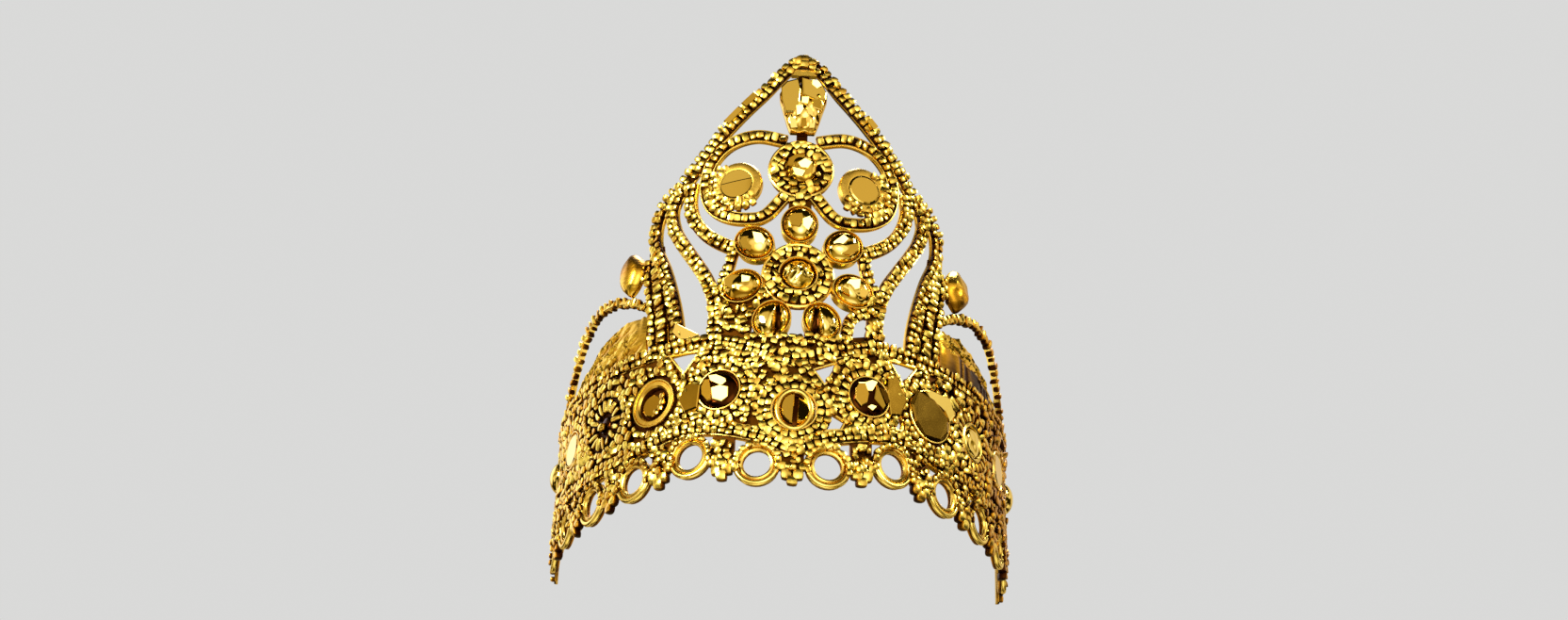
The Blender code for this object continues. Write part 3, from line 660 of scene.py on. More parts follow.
# %% From the tray to the crown
def place_on_crown(name, tray, slot, *nodes):
    """Bends a tray's work round the former, as one piece that stands for the named solids."""
    golds, kinds = np.unique(np.concatenate(tray.golds), return_inverse=True)
    loops = np.concatenate([group.ravel() for group in tray.faces])
    sizes = np.concatenate([np.full(len(group), group.shape[1]) for group in tray.faces])
    points = bend(np.vstack(tray.points))
    mesh = bpy.data.meshes.new(name)
    mesh.vertices.add(len(points))
    mesh.vertices.foreach_set("co", points.ravel())
    mesh.loops.add(len(loops))
    mesh.loops.foreach_set("vertex_index", loops)
    mesh.polygons.add(len(sizes))
    mesh.polygons.foreach_set("loop_start", np.concatenate(([0], np.cumsum(sizes)[:-1])))
    mesh.polygons.foreach_set("material_index", kinds)
    mesh.update(calc_edges=True)
    for attribute, values in (("tone", tray.tones), ("depth", tray.depths)):
        layer = mesh.attributes.new(attribute, "FLOAT", "POINT")
        layer.data.foreach_set("value", np.concatenate(values).astype(float))
    mesh.set_sharp_from_angle(angle=math.radians(SHARP_ANGLE))
    mesh.polygons.foreach_set("use_smooth", ~np.concatenate(tray.flats))
    for gold in golds:
        mesh.materials.append(GOLDS[gold])
    mesh.validate()
    piece = bpy.data.objects.new(name, mesh)
    bpy.context.scene.collection.objects.link(piece)
    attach(piece, "root")
    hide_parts(*nodes)
    print(name, len(sizes), "faces")


# %% [markdown]
# ## The front panel
#
# The panel is the tall pointed front. One doubled row of grains makes the arch and runs on down as the
# lyre shape inside it. A second wire stands outside, with two finer ones beside it at the foot. Scrolls
# and inner wires hold the round rosette and the two discs. The maker soldered all of it to thin strips.
# Every route is given for the right side and flipped for the left, but the grains differ.

# %% Wires of the front panel
panel = Tray()
arch = smooth(flip(ARCH_ROUTE[:0:-1], -1) + ARCH_ROUTE)
grained_wire(panel, arch)
for side in (-1, 1):
    lyre = smooth(flip(ARCH_ROUTE[4:], side))
    sweep(panel, lyre, round_section(0.13, 0.02, -side * 0.6, 6), WIRE)
    grained_wire(panel, smooth(flip(SIDE_ROUTE, side)), thick=0.92)
    strands = smooth(flip(SECOND_ROUTE, side))
    dark_strip(panel, strands, 1.0, -0.4, -0.22)
    grained_wire(panel, strands, rows=1, width=0.95, thick=0.86, grain=1.05)
    third = smooth(flip(THIRD_ROUTE, side))
    grained_wire(panel, third, rows=1, width=0.8, thick=0.7, grain=0.7, height=0.5)
    grained_wire(panel, smooth(flip(INNER_ROUTE, side)), thick=0.88, rims=(side,), row_gap=0.56)
    grained_wire(panel, smooth(flip(SCROLL_ROUTE, side)), rows=1, thick=0.84, rims=(-1, 1), row_gap=0.72)
    grained_wire(panel, smooth(flip(TIE_ROUTE, side)), width=1.05, thick=0.84, row_gap=0.48)
peak_bar = np.array([(-1.25, PEAK_BAR_HEIGHT), (1.25, PEAK_BAR_HEIGHT)])
sweep(panel, peak_bar, strip_section(0.38, -0.34, 0.2), WIRE)
single_grains(panel, [(0.0, 46.15, 0.15), (-0.75, 45.75, 0.2), (0.75, 45.75, 0.2), (0.0, 45.4, 0.3)],
              [(0.95, 0.85, 0.8), (0.85, 0.8, 0.8), (0.85, 0.8, 0.8), (0.9, 0.8, 0.7)])
print("panel wires:", panel.count, "points")

# %% Filed places on the arch
FILED_OUT, FILED_WIDTH = 0.3, 0.72


def arch_facet(first, last, side):
    """A long flat place, where the outer grains of the arch are filed together between two heights."""
    half = arch[arch[:, 0] * side > 0.0]
    stretch = half[(half[:, 1] > min(first, last)) & (half[:, 1] < max(first, last))]
    way = headings(stretch)
    outward = np.column_stack((way[:, 1], -way[:, 0]))
    outward = outward * np.sign(outward[:, :1] * side)
    middle = stretch + outward * FILED_OUT
    edge = np.vstack((middle + outward * FILED_WIDTH / 2, (middle - outward * FILED_WIDTH / 2)[::-1]))
    facet(panel, edge, 0.58)


for first, last, side in ((41.9, 40.5, -1), (40.3, 38.7, -1), (39.9, 39.0, 1)):
    arch_facet(first, last, side)

# %% [markdown]
# The rosette, the discs and the flower each sit in a ring. A plain rim and two rows of grains run
# round the rosette and the flower, the inner row rougher than the outer one. The rings of the discs
# are plain and broad on the side towards the rosette, and grained on the side towards the arch. The
# flower has seven cups of thin sheet around it. A circle is a route like any other, so all of them
# are made with the same few tools.

# %% Rings of the rosette and the flower
ROSETTE, FLOWER = (0.0, ROSETTE_HEIGHT), (0.0, FLOWER_HEIGHT)
for middle, inner, outer, thick in ((ROSETTE, 1.72, 3.18, 0.98), (FLOWER, 1.74, 3.45, 1.06)):
    dark_strip(panel, circle(middle, (inner + outer) / 2), (outer - inner) / 2, -thick / 2, -0.02)
    grain_row(panel, circle(middle, outer - 0.62), width=0.78, out=0.16, rough=0.16)
    # A dark ring behind the button fills the gap round it: a painted shadow.
    sweep(panel, circle(middle, inner - 0.1), strip_section(0.3, SHEET_BACK, -0.2), BED, depth=1.0)
    if middle is FLOWER:
        inner_row = circle(middle, inner + 0.36)
        grain_row(panel, inner_row, width=0.5, out=0.2, height=0.56, pitch=0.82, rough=0.2)
        collar(panel, circle(middle, inner + 0.06), -thick / 2, thick / 2 - 0.1)
    else:
        inner_row = circle(middle, inner + 0.22)
        grain_row(panel, inner_row, width=0.66, out=0.22, height=0.6, pitch=0.78, rough=0.26)
    sweep(panel, circle(middle, outer - 0.14), round_section(0.2), WIRE, depth=0.1)

# %% Rings of the scroll discs
DISC_RING = [(-0.46, SHEET_BACK), (0.46, SHEET_BACK), (0.46, 0.1), (0.3, 0.3), (-0.3, 0.4), (-0.46, 0.36)]
for side in (-1, 1):
    middle = (side * DISC_PLACE[0], DISC_PLACE[1])
    sweep(panel, circle(middle, 2.04), DISC_RING, WIRE, depth=0.15)
    # A dark ring behind the disc's edge: painted shade in the gap round it.
    dark_strip(panel, circle(middle, 1.6), 0.2, SHEET_BACK, -0.34)
    first, last = (-150, 70) if side > 0 else (110, 330)
    grain_row(panel, circle(middle, 2.1, first, last), width=0.74, out=0.24, height=0.56)
    grain_row(panel, circle(middle, 2.75, first + 15, last - 15), width=0.66, out=0.12, height=0.56)
    across = np.linspace(min(side * 8.0, side * 9.2), max(side * 8.0, side * 9.2), 4)
    grained_sheet(panel, across, 30.2, 32.0, 0.1)


# %% Cups of the petals
def petal_places():
    """The middles of the seven cups and the ways they point, the first straight up, anticlockwise."""
    lie = math.pi / 2 + np.arange(PETALS) * 2 * math.pi / PETALS
    middles = np.column_stack((PETAL_REACH * np.cos(lie), FLOWER_HEIGHT + PETAL_REACH * np.sin(lie)))
    return list(zip(middles, lie))


def cup_route(number, radius):
    """A route round the cup of a number, at a radius across it."""
    middle, lie = petal_places()[number]
    return oval(middle, radius * PETAL_STRETCH, radius, lie)


for number in range(PETALS):
    collar(panel, cup_route(number, PETAL_RADIUS - 0.08), -0.64, 0.46, 0.15)
    dark_strip(panel, cup_route(number, PETAL_RADIUS - 0.22), 0.2, -0.64, -0.5)
grained_sheet(panel, np.linspace(-1.1, 1.1, 7), 29.0, 30.6, past=(0.1, 0.1), out=0.14)
strap = np.linspace(-0.55, 0.55, 3)
sheet(panel, strap, ROSETTE_HEIGHT + 2.6, PEAK_BAR_HEIGHT, -0.6, -0.36, depth=1.0)
print("rings and cups:", panel.count, "points so far")

# %% [markdown]
# The panel stands on the upper border of the band, which dips under it. Grained sheets fill the corners
# between its lowest cups and the border, more of them on the left than on the right.


# %% The foot of the panel
def panel_foot(across):
    """The height of the panel's foot, just above the upper border of the band."""
    return np.interp(across, TOP_ROUTE[:, 0], TOP_ROUTE[:, 1]) + PANEL_RISE


def top_border():
    """The upper border of the band, level at the sides and dipping under the middle of the panel."""
    half = DIP_ROUTE + [(across, BAND_TOP) for across in np.linspace(DIP_ROUTE[-1][0], BAND_END, 12)[1:]]
    return smooth(flip(half[:0:-1], -1) + half)


TOP_ROUTE = top_border()
foot = np.linspace(-5.3, 5.3, 50)
rail_roof = np.maximum(15.22, panel_foot(foot) + 0.05)
grained_sheet(panel, foot, panel_foot(foot), rail_roof, 0.02, (0.25, 0.2), out=0.14)

# %% Corners under the flower
(low_cup, _), (side_cup, _) = petal_places()[4:6]
field = np.linspace(2.4, 7.7, 28)
under_cup = side_cup[1] - np.sqrt(np.clip(1.85**2 - (field - side_cup[0])**2, 0.0, None))
over_cup = low_cup[1] + np.sqrt(np.clip(CUP_CLEAR**2 - (field - low_cup[0])**2, 0.0, None))
floor = np.where(field < low_cup[0] + CUP_CLEAR, np.minimum(over_cup, 19.0), panel_foot(field))
roof = np.where(field > side_cup[0] + CUP_CLEAR, 20.6, np.maximum(under_cup, floor + 0.05))
grained_sheet(panel, -field[::-1], floor[::-1], roof[::-1])
right_strand = smooth([(6.9, 18.9), (5.8, 18.3), (5.1, 17.5), (4.9, 16.4), (4.7, 15.2)])
grained_wire(panel, right_strand, rows=2, width=1.2, thick=0.6, row_gap=0.55)
right_corner = np.linspace(4.4, 7.7, 12)
corner_foot = panel_foot(right_corner)
grained_sheet(panel, right_corner, corner_foot, corner_foot + 0.5, past=(0.2, 0.2))
sheet(panel, np.linspace(6.9, 7.7, 4), panel_foot(7.3), 20.4, SHEET_BACK, 0.0)
sow(panel, np.linspace(6.7, 7.8, 4), panel_foot(7.3), 20.4)
wedge = [(-12.0, 16.6), (-11.4, 15.9), (-9.1, 15.8), (-9.6, 16.3), (-11.6, 17.5)]
facet(panel, wedge, 0.3, tilt=(-0.3, 0.3))
place_on_crown("front_panel_grains_and_wires", panel, "beaded_gold", "front_panel")

# %% [markdown]
# ## Buttons, petals, discs and the drop
#
# These are solid polished pieces. Buttons, petals and the drop are domes that were dented with a
# hammer and then cut with a file into a few flat faces, so each face mirrors one thing as a whole.
# Smooth domes alone would mirror everything as thin curved streaks. Faces that are laid one by one,
# each with its own slopes, show the filing.


# %% A polished piece, and its dents
def polished(name, node, build, slot="polished_gold"):
    """One polished piece in a tray of its own."""
    tray = Tray()
    build(tray)
    place_on_crown(name, tray, slot, node)


def lumpy(seed, amount, waves=2.6):
    """A warp that dents a polished face, as a hammer and a file do.

    The dents are a mean of six waves that run across the face in chance directions."""
    chance = np.random.default_rng(seed)
    ways = chance.normal(0.0, waves, (6, 2))
    phases = chance.uniform(0.0, 2 * math.pi, 6)

    def warp(points):
        across, up, out = points.T
        dents = sum(np.sin(across * way[0] + up * way[1] + phase) for way, phase in zip(ways, phases)) / 6
        return np.column_stack((across, up, out + amount * dents * np.clip(out / 0.4, 0.0, 1.0)))
    return warp


# %% [markdown]
# The drop hangs under the peak with its broad end up, and tapers to a blunt foot. A dome is drawn from
# its outline instead of from a circle: at each share of the way from its middle to the outline it
# stands out less. Towards its shoulder its colour darkens, as a painted shadow at its top.

# %% The drop and its faces
DROP_MIDDLE = (0.0, 40.9)
DROP_RISE = 1.12
DROP_BACK = -0.29
DROP_SIDE = [(0.0, 3.05), (1.15, 2.7), (1.95, 2.0), (2.35, 1.1), (2.3, 0.2), (1.95, -1.0), (1.6, -2.3),
             (1.25, -3.4), (0.0, -3.42)]
DROP_FACES = [
    ([(-2.15, 1.5), (-1.6, 2.1), (-0.55, 2.25), (-0.3, 1.0), (-0.4, -0.5), (-0.9, -1.7), (-1.65, -1.5),
      (-2.05, 0.0)], 1.12, (0.3, 0.0), 0.15),
    ([(-0.2, 2.25), (0.9, 2.2), (1.8, 1.8), (2.15, 1.1), (2.1, 0.3), (1.1, 0.0), (-0.1, 0.3)], 1.1,
     (-0.28, 0.0), 0.15),
    ([(0.7, 2.15), (1.3, 2.05), (1.65, 1.6), (1.2, 1.3), (0.7, 1.5)], 1.22, (0.0, 0.4), 0.0),
    ([(-0.2, 0.1), (0.5, 0.1), (0.4, -0.6), (-0.2, -0.5)], 1.25, (0.1, 0.35), 0.0),
    ([(0.7, -0.1), (1.6, 0.1), (1.7, -1.0), (0.9, -0.9)], 1.08, (-0.3, 0.15), 0.2),
    ([(-0.7, -0.9), (-0.1, -0.8), (0.2, -1.6), (-0.6, -2.0)], 1.12, (-0.1, 0.4), 0.0),
    ([(0.2, -0.9), (0.8, -1.1), (1.0, -1.9), (0.4, -1.7)], 1.14, (-0.2, 0.3), 0.1),
    ([(-1.3, -1.9), (-0.7, -2.2), (-0.5, -3.1), (-1.1, -3.1)], 0.86, (0.2, 0.3), 0.0),
    ([(-0.2, -2.1), (0.3, -2.0), (0.4, -2.9), (-0.2, -3.1)], 0.9, (0.0, 0.1), 0.5),
    ([(0.6, -2.2), (1.2, -2.1), (1.1, -3.0), (0.6, -3.1)], 0.84, (-0.2, 0.35), 0.0),
]


def drop(tray):
    """The drop under the peak: a round body, a shoulder darkened as painted shadow, and faces cut on its
    front.

    Each ring of its front is the outline times a share, and stands out by the rise times the root of
    one less that share to the power 2.6. Lumps are a product of two waves."""
    half = evenly(np.array(DROP_SIDE), 0.3)
    outline = np.vstack((half[:-1], (half * (-1.0, 1.0))[:0:-1]))
    rows = 12
    share = np.sin(np.linspace(0.0, 1.0, rows + 1)[1:] * math.pi / 2)[:, None]
    across, up = share * outline[:, 0], share * outline[:, 1]
    out = DROP_RISE * np.sqrt(np.clip(1.0 - share**2.6, 0.0, 1.0))
    lumps = 0.14 * np.sin(across * 5.2 + 0.6) * np.sin(up * 3.4) * (share < 0.98)
    shoulder = 0.5 * np.clip(up - 2.0, 0.0, 1.0)
    front = np.stack((across, up, np.clip(out + lumps - shoulder, 0.0, 2.0)), axis=-1)
    count = len(outline)
    back = np.column_stack((outline, np.full(count, DROP_BACK)))
    points = np.vstack(([(0.0, 0.0, DROP_RISE), (0.0, 0.0, DROP_BACK)], front.reshape(-1, 3), back))
    number = 2 + np.arange((rows + 1) * count).reshape(rows + 1, count)
    after = np.roll(number, -1, axis=1)
    cap = np.column_stack((np.zeros(count, dtype=int), after[0], number[0]))
    shut = np.column_stack((np.ones(count, dtype=int), number[-1], after[-1]))
    belts = np.stack((number[:-1], after[:-1], after[1:], number[1:]), axis=-1).reshape(-1, 4)
    # Painted shadow: the colour darkens towards the shoulder at the top.
    darkening = np.clip(0.25 + points[:, 1] * 0.5, 0.2, 0.9)
    tray.add(points + (*DROP_MIDDLE, 0.0), [cap, shut, belts], CUT, 0.5, darkening)
    cut_faces(tray, DROP_MIDDLE, DROP_FACES)


polished("top_drop_polished", "top_drop", drop)

# %% [markdown]
# The rosette's button is a lumpy dome with four faces, on a ground darkened round them as painted
# shade. The button of the flower was only hammered, so it has dents and no faces.

# %% The buttons of the rosette and the flower
ROSETTE_FACES = [
    ([(-1.4, 0.0), (-1.2, 0.85), (-0.55, 1.35), (0.3, 1.35), (0.15, 0.8), (-0.5, 0.4), (-0.7, -0.1)], 0.74,
     (0.0, 0.0), 0.35),
    ([(-0.4, 0.2), (0.3, 0.65), (1.0, 0.3), (0.6, -0.3), (-0.1, -0.25)], 0.98, (0.05, 0.4), 0.0),
    ([(-0.9, -0.35), (-0.2, -0.45), (0.4, -0.6), (0.1, -1.2), (-0.6, -1.1)], 0.86, (-0.1, 0.35), 0.1),
    ([(0.9, -0.35), (1.35, 0.3), (1.3, -0.6), (0.6, -1.2), (0.4, -0.8)], 0.7, (0.2, 0.1), 0.35),
]


def rosette_button(tray):
    """The button of the rosette: a lumpy dome with four faces cut on it."""
    # The dome round the faces is darkened a little as painted shade.
    turned(tray, ROSETTE, BUTTON_RADIUS, BUTTON_RADIUS, dome_profile(0.8, 10), 40, warp=lumpy(4, 0.3, 2.2),
           darkening=lambda points: 0.55 * dark_ground(points))
    cut_faces(tray, ROSETTE, ROSETTE_FACES)


def flower_button(tray):
    """The button of the flower: a dome with many small dents."""
    turned(tray, FLOWER, 1.5, 1.5, dome_profile(1.05, 10), 40, warp=lumpy(9, 0.6, 3.6))


polished("rosette_button_cut", "rosette_button", rosette_button)
polished("flower_button_cut", "flower_button", flower_button)

# %% [markdown]
# The petals are long domes. Five of them have dull faces and shining ones, which slope towards the
# light. The two lowest have an upright groove instead. A groove follows the upright of the crown and
# not the way the petal points, so it is worked out after the petal's own turn.


# %% Grooves
def grooved(seed, middle, width, lie):
    """A petal's warp with an upright groove, and the painted shade in it. The groove widens downwards.

    Its share is one in the middle and falls off with the fourth power of the distance from it."""
    dents = lumpy(seed, 0.14, 1.5)

    # Where the groove is, the surface sinks and the colour darkens as painted shade.
    def share(points):
        level = points[:, 0] * math.cos(lie) - points[:, 1] * math.sin(lie)
        height = points[:, 0] * math.sin(lie) + points[:, 1] * math.cos(lie)
        reach = width * np.clip(1.2 - 0.5 * height, 0.4, 2.0)
        return np.exp(-((level - middle) / reach) ** 4) * np.clip(points[:, 2] / 0.3, 0.0, 1.0)

    def warp(points):
        points = dents(points)
        return points - np.column_stack((0 * points[:, 0], 0 * points[:, 1], 0.5 * share(points)))
    return warp, share


# %% Faces of the petals
PETAL_GROOVES = {3: (0.62, 0.26), 4: (-0.62, 0.3)}
PETAL_BEND = 17.0
DULL, SHINE = ((0.0, 0.0), 0.25), ((0.0, 0.33), 0.0)
PETAL_FACES = {
    0: [([(-1.1, 0.2), (-0.8, 0.7), (0.2, 0.8), (0.4, 0.1), (0.0, -0.8), (-0.8, -0.6)], *DULL),
        ([(0.2, 0.1), (0.85, 0.4), (1.15, -0.2), (0.8, -1.0), (0.25, -0.7)], *SHINE)],
    1: [([(-1.2, -0.3), (-0.9, 0.3), (-0.2, 0.4), (0.1, -0.3), (-0.2, -1.2), (-0.9, -1.0)], *DULL),
        ([(0.0, 0.6), (0.8, 0.5), (1.2, -0.1), (0.9, -0.9), (0.2, -0.4)], *SHINE)],
    2: [([(-1.4, 0.3), (-0.7, 0.9), (0.1, 0.8), (-0.1, 0.1), (-0.6, -0.8), (-1.3, -0.4)], *DULL),
        ([(0.2, 0.6), (1.0, 0.5), (0.9, 0.05), (0.2, -0.1)], *SHINE),
        ([(-0.3, -0.3), (0.35, -0.4), (0.25, -0.95), (-0.2, -0.8)], *SHINE)],
    5: [([(-1.2, 0.0), (-0.7, 0.7), (0.3, 0.8), (0.3, -0.1), (-0.6, -0.4)], *SHINE),
        ([(0.5, 0.2), (1.2, -0.2), (0.9, -0.9), (0.2, -0.7)], (0.1, 0.1), 0.3),
        ([(-1.3, -0.1), (-0.7, -0.4), (-0.6, -1.0), (-1.2, -0.7)], *DULL)],
    6: [([(-0.6, -0.5), (0.2, -0.1), (1.1, 0.1), (1.1, -0.6), (0.4, -1.2), (-0.4, -1.1)], (0.1, 0.0), 0.3),
        ([(-1.2, 0.0), (-0.3, 0.8), (0.2, 0.4), (-0.2, -0.1), (-1.0, -0.6)], *SHINE)],
}


# %% The seven petals
def petal_darkening(points):
    """A darkening that deepens towards one side of a petal."""
    return np.clip(points[:, 1] * 0.5, 0.0, 0.6)


def petal(tray, number):
    """One domed petal, long towards the flower. The two low ones have a groove, the others cut faces."""
    place, lie = petal_places()[number]
    if number in PETAL_GROOVES:
        warp, darkening = grooved(20 + number, *PETAL_GROOVES[number], lie)
    else:
        warp = lumpy(20 + number, 0.14, 1.5)
        darkening = petal_darkening
    turned(tray, place, PETAL_DOME * PETAL_STRETCH, PETAL_DOME, dome_profile(1.2, 12, 2.4), 48, warp=warp,
           lie=lie, darkening=darkening)
    towards_middle = (place[0] / PETAL_BEND, 0.0)
    for corners, tilt, depth in PETAL_FACES.get(number, ()):
        facet(tray, np.array(corners) + place, 1.24, 0.7, np.add(tilt, towards_middle), depth)


for number in range(PETALS):
    polished(f"petal_{number + 1}_polished", f"petal_{number + 1}", partial(petal, number=number))

# %% [markdown]
# The discs in the scrolls are flat and burnished. The right one is a single plate. The left one has a
# line cut across it, and is two plates with a gap between them over a ground of painted shade.


# %% The scroll discs
def cut_disc(tray, place, radius, line, front=0.44, back=-0.42):
    """A flat disc in two faces, with a cut between them at a height from its middle.

    At each place across, the rim is as high as the circle's half chord there."""
    across = place[0] + radius * np.sin(np.linspace(-0.98, 0.98, 21) * math.pi / 2)
    reach = np.sqrt(np.clip(radius**2 - (across - place[0])**2, 0.0, None))
    tilt = (across - place[0]) * 0.12
    cut = np.clip(line + tilt, -reach + 0.02, reach - 0.05)
    low, top = place[1] - reach, place[1] + np.maximum(reach, cut + 0.16)
    sheet(tray, across, low, place[1] + cut, back, front, CUT, depth=0.2)
    sheet(tray, across, place[1] + cut + 0.13, top, back, front - 0.06, CUT, depth=0.1)
    # A dark ground behind the gap between the plates: painted shade.
    sheet(tray, across, low, place[1] + reach, back - 0.02, back + 0.1, BED, depth=1.0)


def plain_disc(tray, place, radius):
    """A flat disc of a single face."""
    facet(tray, circle(place, radius)[:-1], 0.44, 0.86)


polished("scroll_disc_left_cut", "scroll_disc_left",
         partial(cut_disc, place=(-DISC_PLACE[0], DISC_PLACE[1]), radius=DISC_RADIUS, line=0.2))
polished("scroll_disc_right_cut", "scroll_disc_right",
         partial(plain_disc, place=DISC_PLACE, radius=DISC_RADIUS))

# %% [markdown]
# ## The head band
#
# The band goes round the head. Its two borders are doubled rows of grains on a strip. The upper one
# dips in the middle, the lower one lies on the fringe. A post of single grains closes each end. The
# lower border's route is worked out from the fringe rings, so it rises where they do.


# %% Borders and end posts
def fringe_place(number):
    """The middle of a fringe ring, counted from the centre line."""
    return (number + 0.5) * FRINGE_PITCH, FRINGE_HEIGHT + FRINGE_LIFTS[number]


def setting_place(number):
    """The middle of a setting, counted from the centre line."""
    return number * SETTING_PITCH, CENTRE_SETTING_HEIGHT if number == 0 else SETTING_HEIGHT


def lower_border():
    """The route of the lower border, over the fringe rings and down to the dip in the middle."""
    places = [fringe_place(number) for number in range(6)]
    half = [(across, up + LOWER_BORDER_RISE) for across, up in places]
    half.append((BAND_END, half[-1][1]))
    return smooth(flip(half[::-1], -1) + [(0.0, LOWER_BORDER_DIP)] + half)


band = Tray()
low_route = lower_border()
grained_wire(band, TOP_ROUTE, width=1.4, thick=0.95, rims=(1,), row_gap=0.62, proud=0.16)
grained_wire(band, low_route, width=1.4, thick=1.04, rims=(-1, 1), row_gap=0.58)
for side in (-1, 1):
    post = np.array([(side * BAND_END, 0.15), (side * BAND_END, BAND_TOP)])
    grained_wire(band, evenly(post, 0.5), rows=1, width=0.9, thick=0.8, row_gap=0.7)
print("borders and posts:", band.count, "points")

# %% [markdown]
# Between the borders is a thin plate, sown with grains, with a row of round settings on it and a few
# pointed windows cut through it. The grains of the plate are larger at the sides than in front. A
# boolean could cut the windows, but the plate is made of columns anyway, so each column is left open
# between the foot and the head of its window.


# %% Edges of the plate
def web_edges(number):
    """The corners above and below two neighbouring settings, as across, low and high edges.

    Beside a setting an edge follows a circle round it, and elsewhere a border."""
    (left, left_up), (right, right_up) = setting_place(number), setting_place(number + 1)
    across = np.linspace(left, right, 57)
    near_left = across < (left + right) / 2
    middle, height = np.where(near_left, left, right), np.where(near_left, left_up, right_up)
    bulge = np.sqrt(np.clip(SETTING_REACH**2 - (across - middle)**2, 0.0, None))
    ceiling = np.interp(across, TOP_ROUTE[:, 0], TOP_ROUTE[:, 1] - BORDER_HALF)
    ground = np.interp(across, low_route[:, 0], low_route[:, 1] + BORDER_HALF)
    return across, height + bulge, ceiling, ground, height - bulge


# %% The windows
FAR = 99.0
WINDOWS_ABOVE = [
    [(1.7, 11.9), (2.8, 10.4), (4.1, 13.0)],
    [(9.2, 14.3), (10.8, 12.2), (12.6, 14.6)],
    [(-9.2, 14.3), (-10.8, 12.2), (-12.6, 14.6)],
]
WINDOWS_BELOW = [
    [(3.5, 7.6), (2.7, 5.8), (4.4, 6.1), (4.8, 7.0)],
    [(10.2, 9.1), (9.9, 7.4), (10.7, 7.4), (10.9, 8.5)],
]


def window_span(across, windows):
    """The foot and the head of the window at each place across. Beside a window the foot is above.

    They are the lowest and highest of the straight sides of its outline there."""
    foot, head = np.full(len(across), FAR), np.full(len(across), -FAR)
    for corners in windows:
        for (left, left_up), (right, right_up) in zip(corners, corners[1:] + corners[:1]):
            share = (across - left) / (right - left)
            edge = left_up + share * (right_up - left_up)
            beside = (share < 0.0) | (share > 1.0)
            foot = np.minimum(foot, np.where(beside, FAR, edge))
            head = np.maximum(head, np.where(beside, -FAR, edge))
    return foot, head


# %% The plate, sown with grains
FRONT_WEBS = (-2, -1, 0, 1)


def web(across, low, high, windows, coarse, spread):
    """A grained part of the plate between two edges, left open where there is a window."""
    high = np.maximum(low, high)
    foot, head = window_span(across, windows)
    crossed = (foot < high) & (head > low)
    under = np.where(crossed, np.maximum(foot, low), high)
    grains = {"spacing": coarse, "size": coarse * 0.93}
    grained_sheet(band, across, low, under, past=(spread, np.where(crossed, 0.0, spread)), **grains)
    if crossed.sum() > 1:
        over = np.minimum(head, high)[crossed]
        grained_sheet(band, across[crossed], over, high[crossed], past=(0.0, spread), **grains)


for corners in WINDOWS_ABOVE + WINDOWS_BELOW:
    sweep(band, evenly(np.array(corners + corners[:1]), 0.3), round_section(0.14, 0.02, 0.0, 6), WIRE)
for number in range(-5, 5):
    across, top, ceiling, ground, bottom = web_edges(number)
    coarse, spread = (0.71, 0.4) if number in FRONT_WEBS else (0.92, 0.1)
    web(across, top, ceiling, WINDOWS_ABOVE, coarse, spread)
    web(across, ground, bottom, WINDOWS_BELOW, coarse, spread)
place_on_crown("head_band_borders_and_webs", band, "beaded_gold", "head_band")

# %% [markdown]
# The settings aren't all alike. The middle one has a tall oval button with an upright ridge, in a
# thick plain oval wire. The next on each side hold buttons cut into flat faces, with a plain flat
# patch beside them. Beyond them come a small flat disc in a broad ring on the left and a broad smoky
# plate with a bright strip across its corner on the right. Then there is a sun of long grains on the
# left and a double plain ring on the right. Those further back repeat the simple settings.


# %% A simple setting
def grained_ring(tray, place, inner, outer=SETTING_OUTER - 0.05, rows=2, thick=0.92, ledge=0.3):
    """A broad ring with rows of grains, a plain collar inside, and a ledge behind that holds the button."""
    dark_strip(tray, circle(place, (inner + outer) / 2), (outer - inner) / 2, -thick / 2, -0.02)
    for row in range(rows):
        grain_row(tray, circle(place, outer - 0.36 - row * 0.7), width=0.7, out=0.14)
    collar(tray, circle(place, inner + 0.06), -thick / 2, thick / 2, 0.2)
    dark_strip(tray, circle(place, inner), ledge, -thick / 2, -0.32)


# %% All the settings
band = Tray()
for number in range(-5, 6):
    place = setting_place(number)
    if number == 0:
        grained_ring(band, place, 2.0)
        sweep(band, oval(place, 1.92, 1.52, math.pi / 2), round_section(0.3, 0.24, 0.0, 10), WIRE)
    elif number == -2:
        grained_ring(band, place, 2.3, rows=1)
        sweep(band, circle(place, 2.02), strip_section(0.34, -0.3, 0.36, 0.16), WIRE, depth=0.2)
        dark_strip(band, circle(place, 1.2), 1.0, SHEET_BACK, -0.32)
        spots = np.array([(1.05, 0.5, 0.2), (1.1, -0.1, 0.2), (0.95, -0.65, 0.2), (0.5, -1.0, 0.2)])
        single_grains(band, spots + (*place, 0.0), 0.62)
    elif number == 2:
        grained_ring(band, place, 2.5, rows=1, ledge=0.7)
        strip = [(-0.9, 2.9), (-0.5, 2.2), (1.6, 1.1), (2.3, 0.2), (2.5, 0.8), (1.7, 2.2)]
        facet(band, np.add(strip, place), 0.72, 0.4, (0.6, 0.5), 0.0)
    elif number == -3:
        dark_strip(band, circle(place, 2.2), 1.35, -0.46, -0.02)
        sun(band, place, 1.95, 16, (1.3, 0.5, 0.6))
        grain_row(band, circle(place, 3.15), width=0.66)
    elif number == 3:
        dark_strip(band, circle(place, 2.4), 1.15, -0.46, -0.1)
        sweep(band, circle(place, 1.8), round_section(0.24, 0.16, 0.0, 8), WIRE)
        sun(band, place, 2.5, 20, (0.95, 0.5, 0.6))
        grain_row(band, circle(place, 3.25), width=0.62)
    else:
        grained_ring(band, place, 1.96 if abs(number) == 1 else 1.86)
left_patch = [(-10.9, 9.2), (-10.2, 7.9), (-8.9, 8.1), (-8.8, 10.6), (-9.5, 11.2), (-10.6, 10.7)]
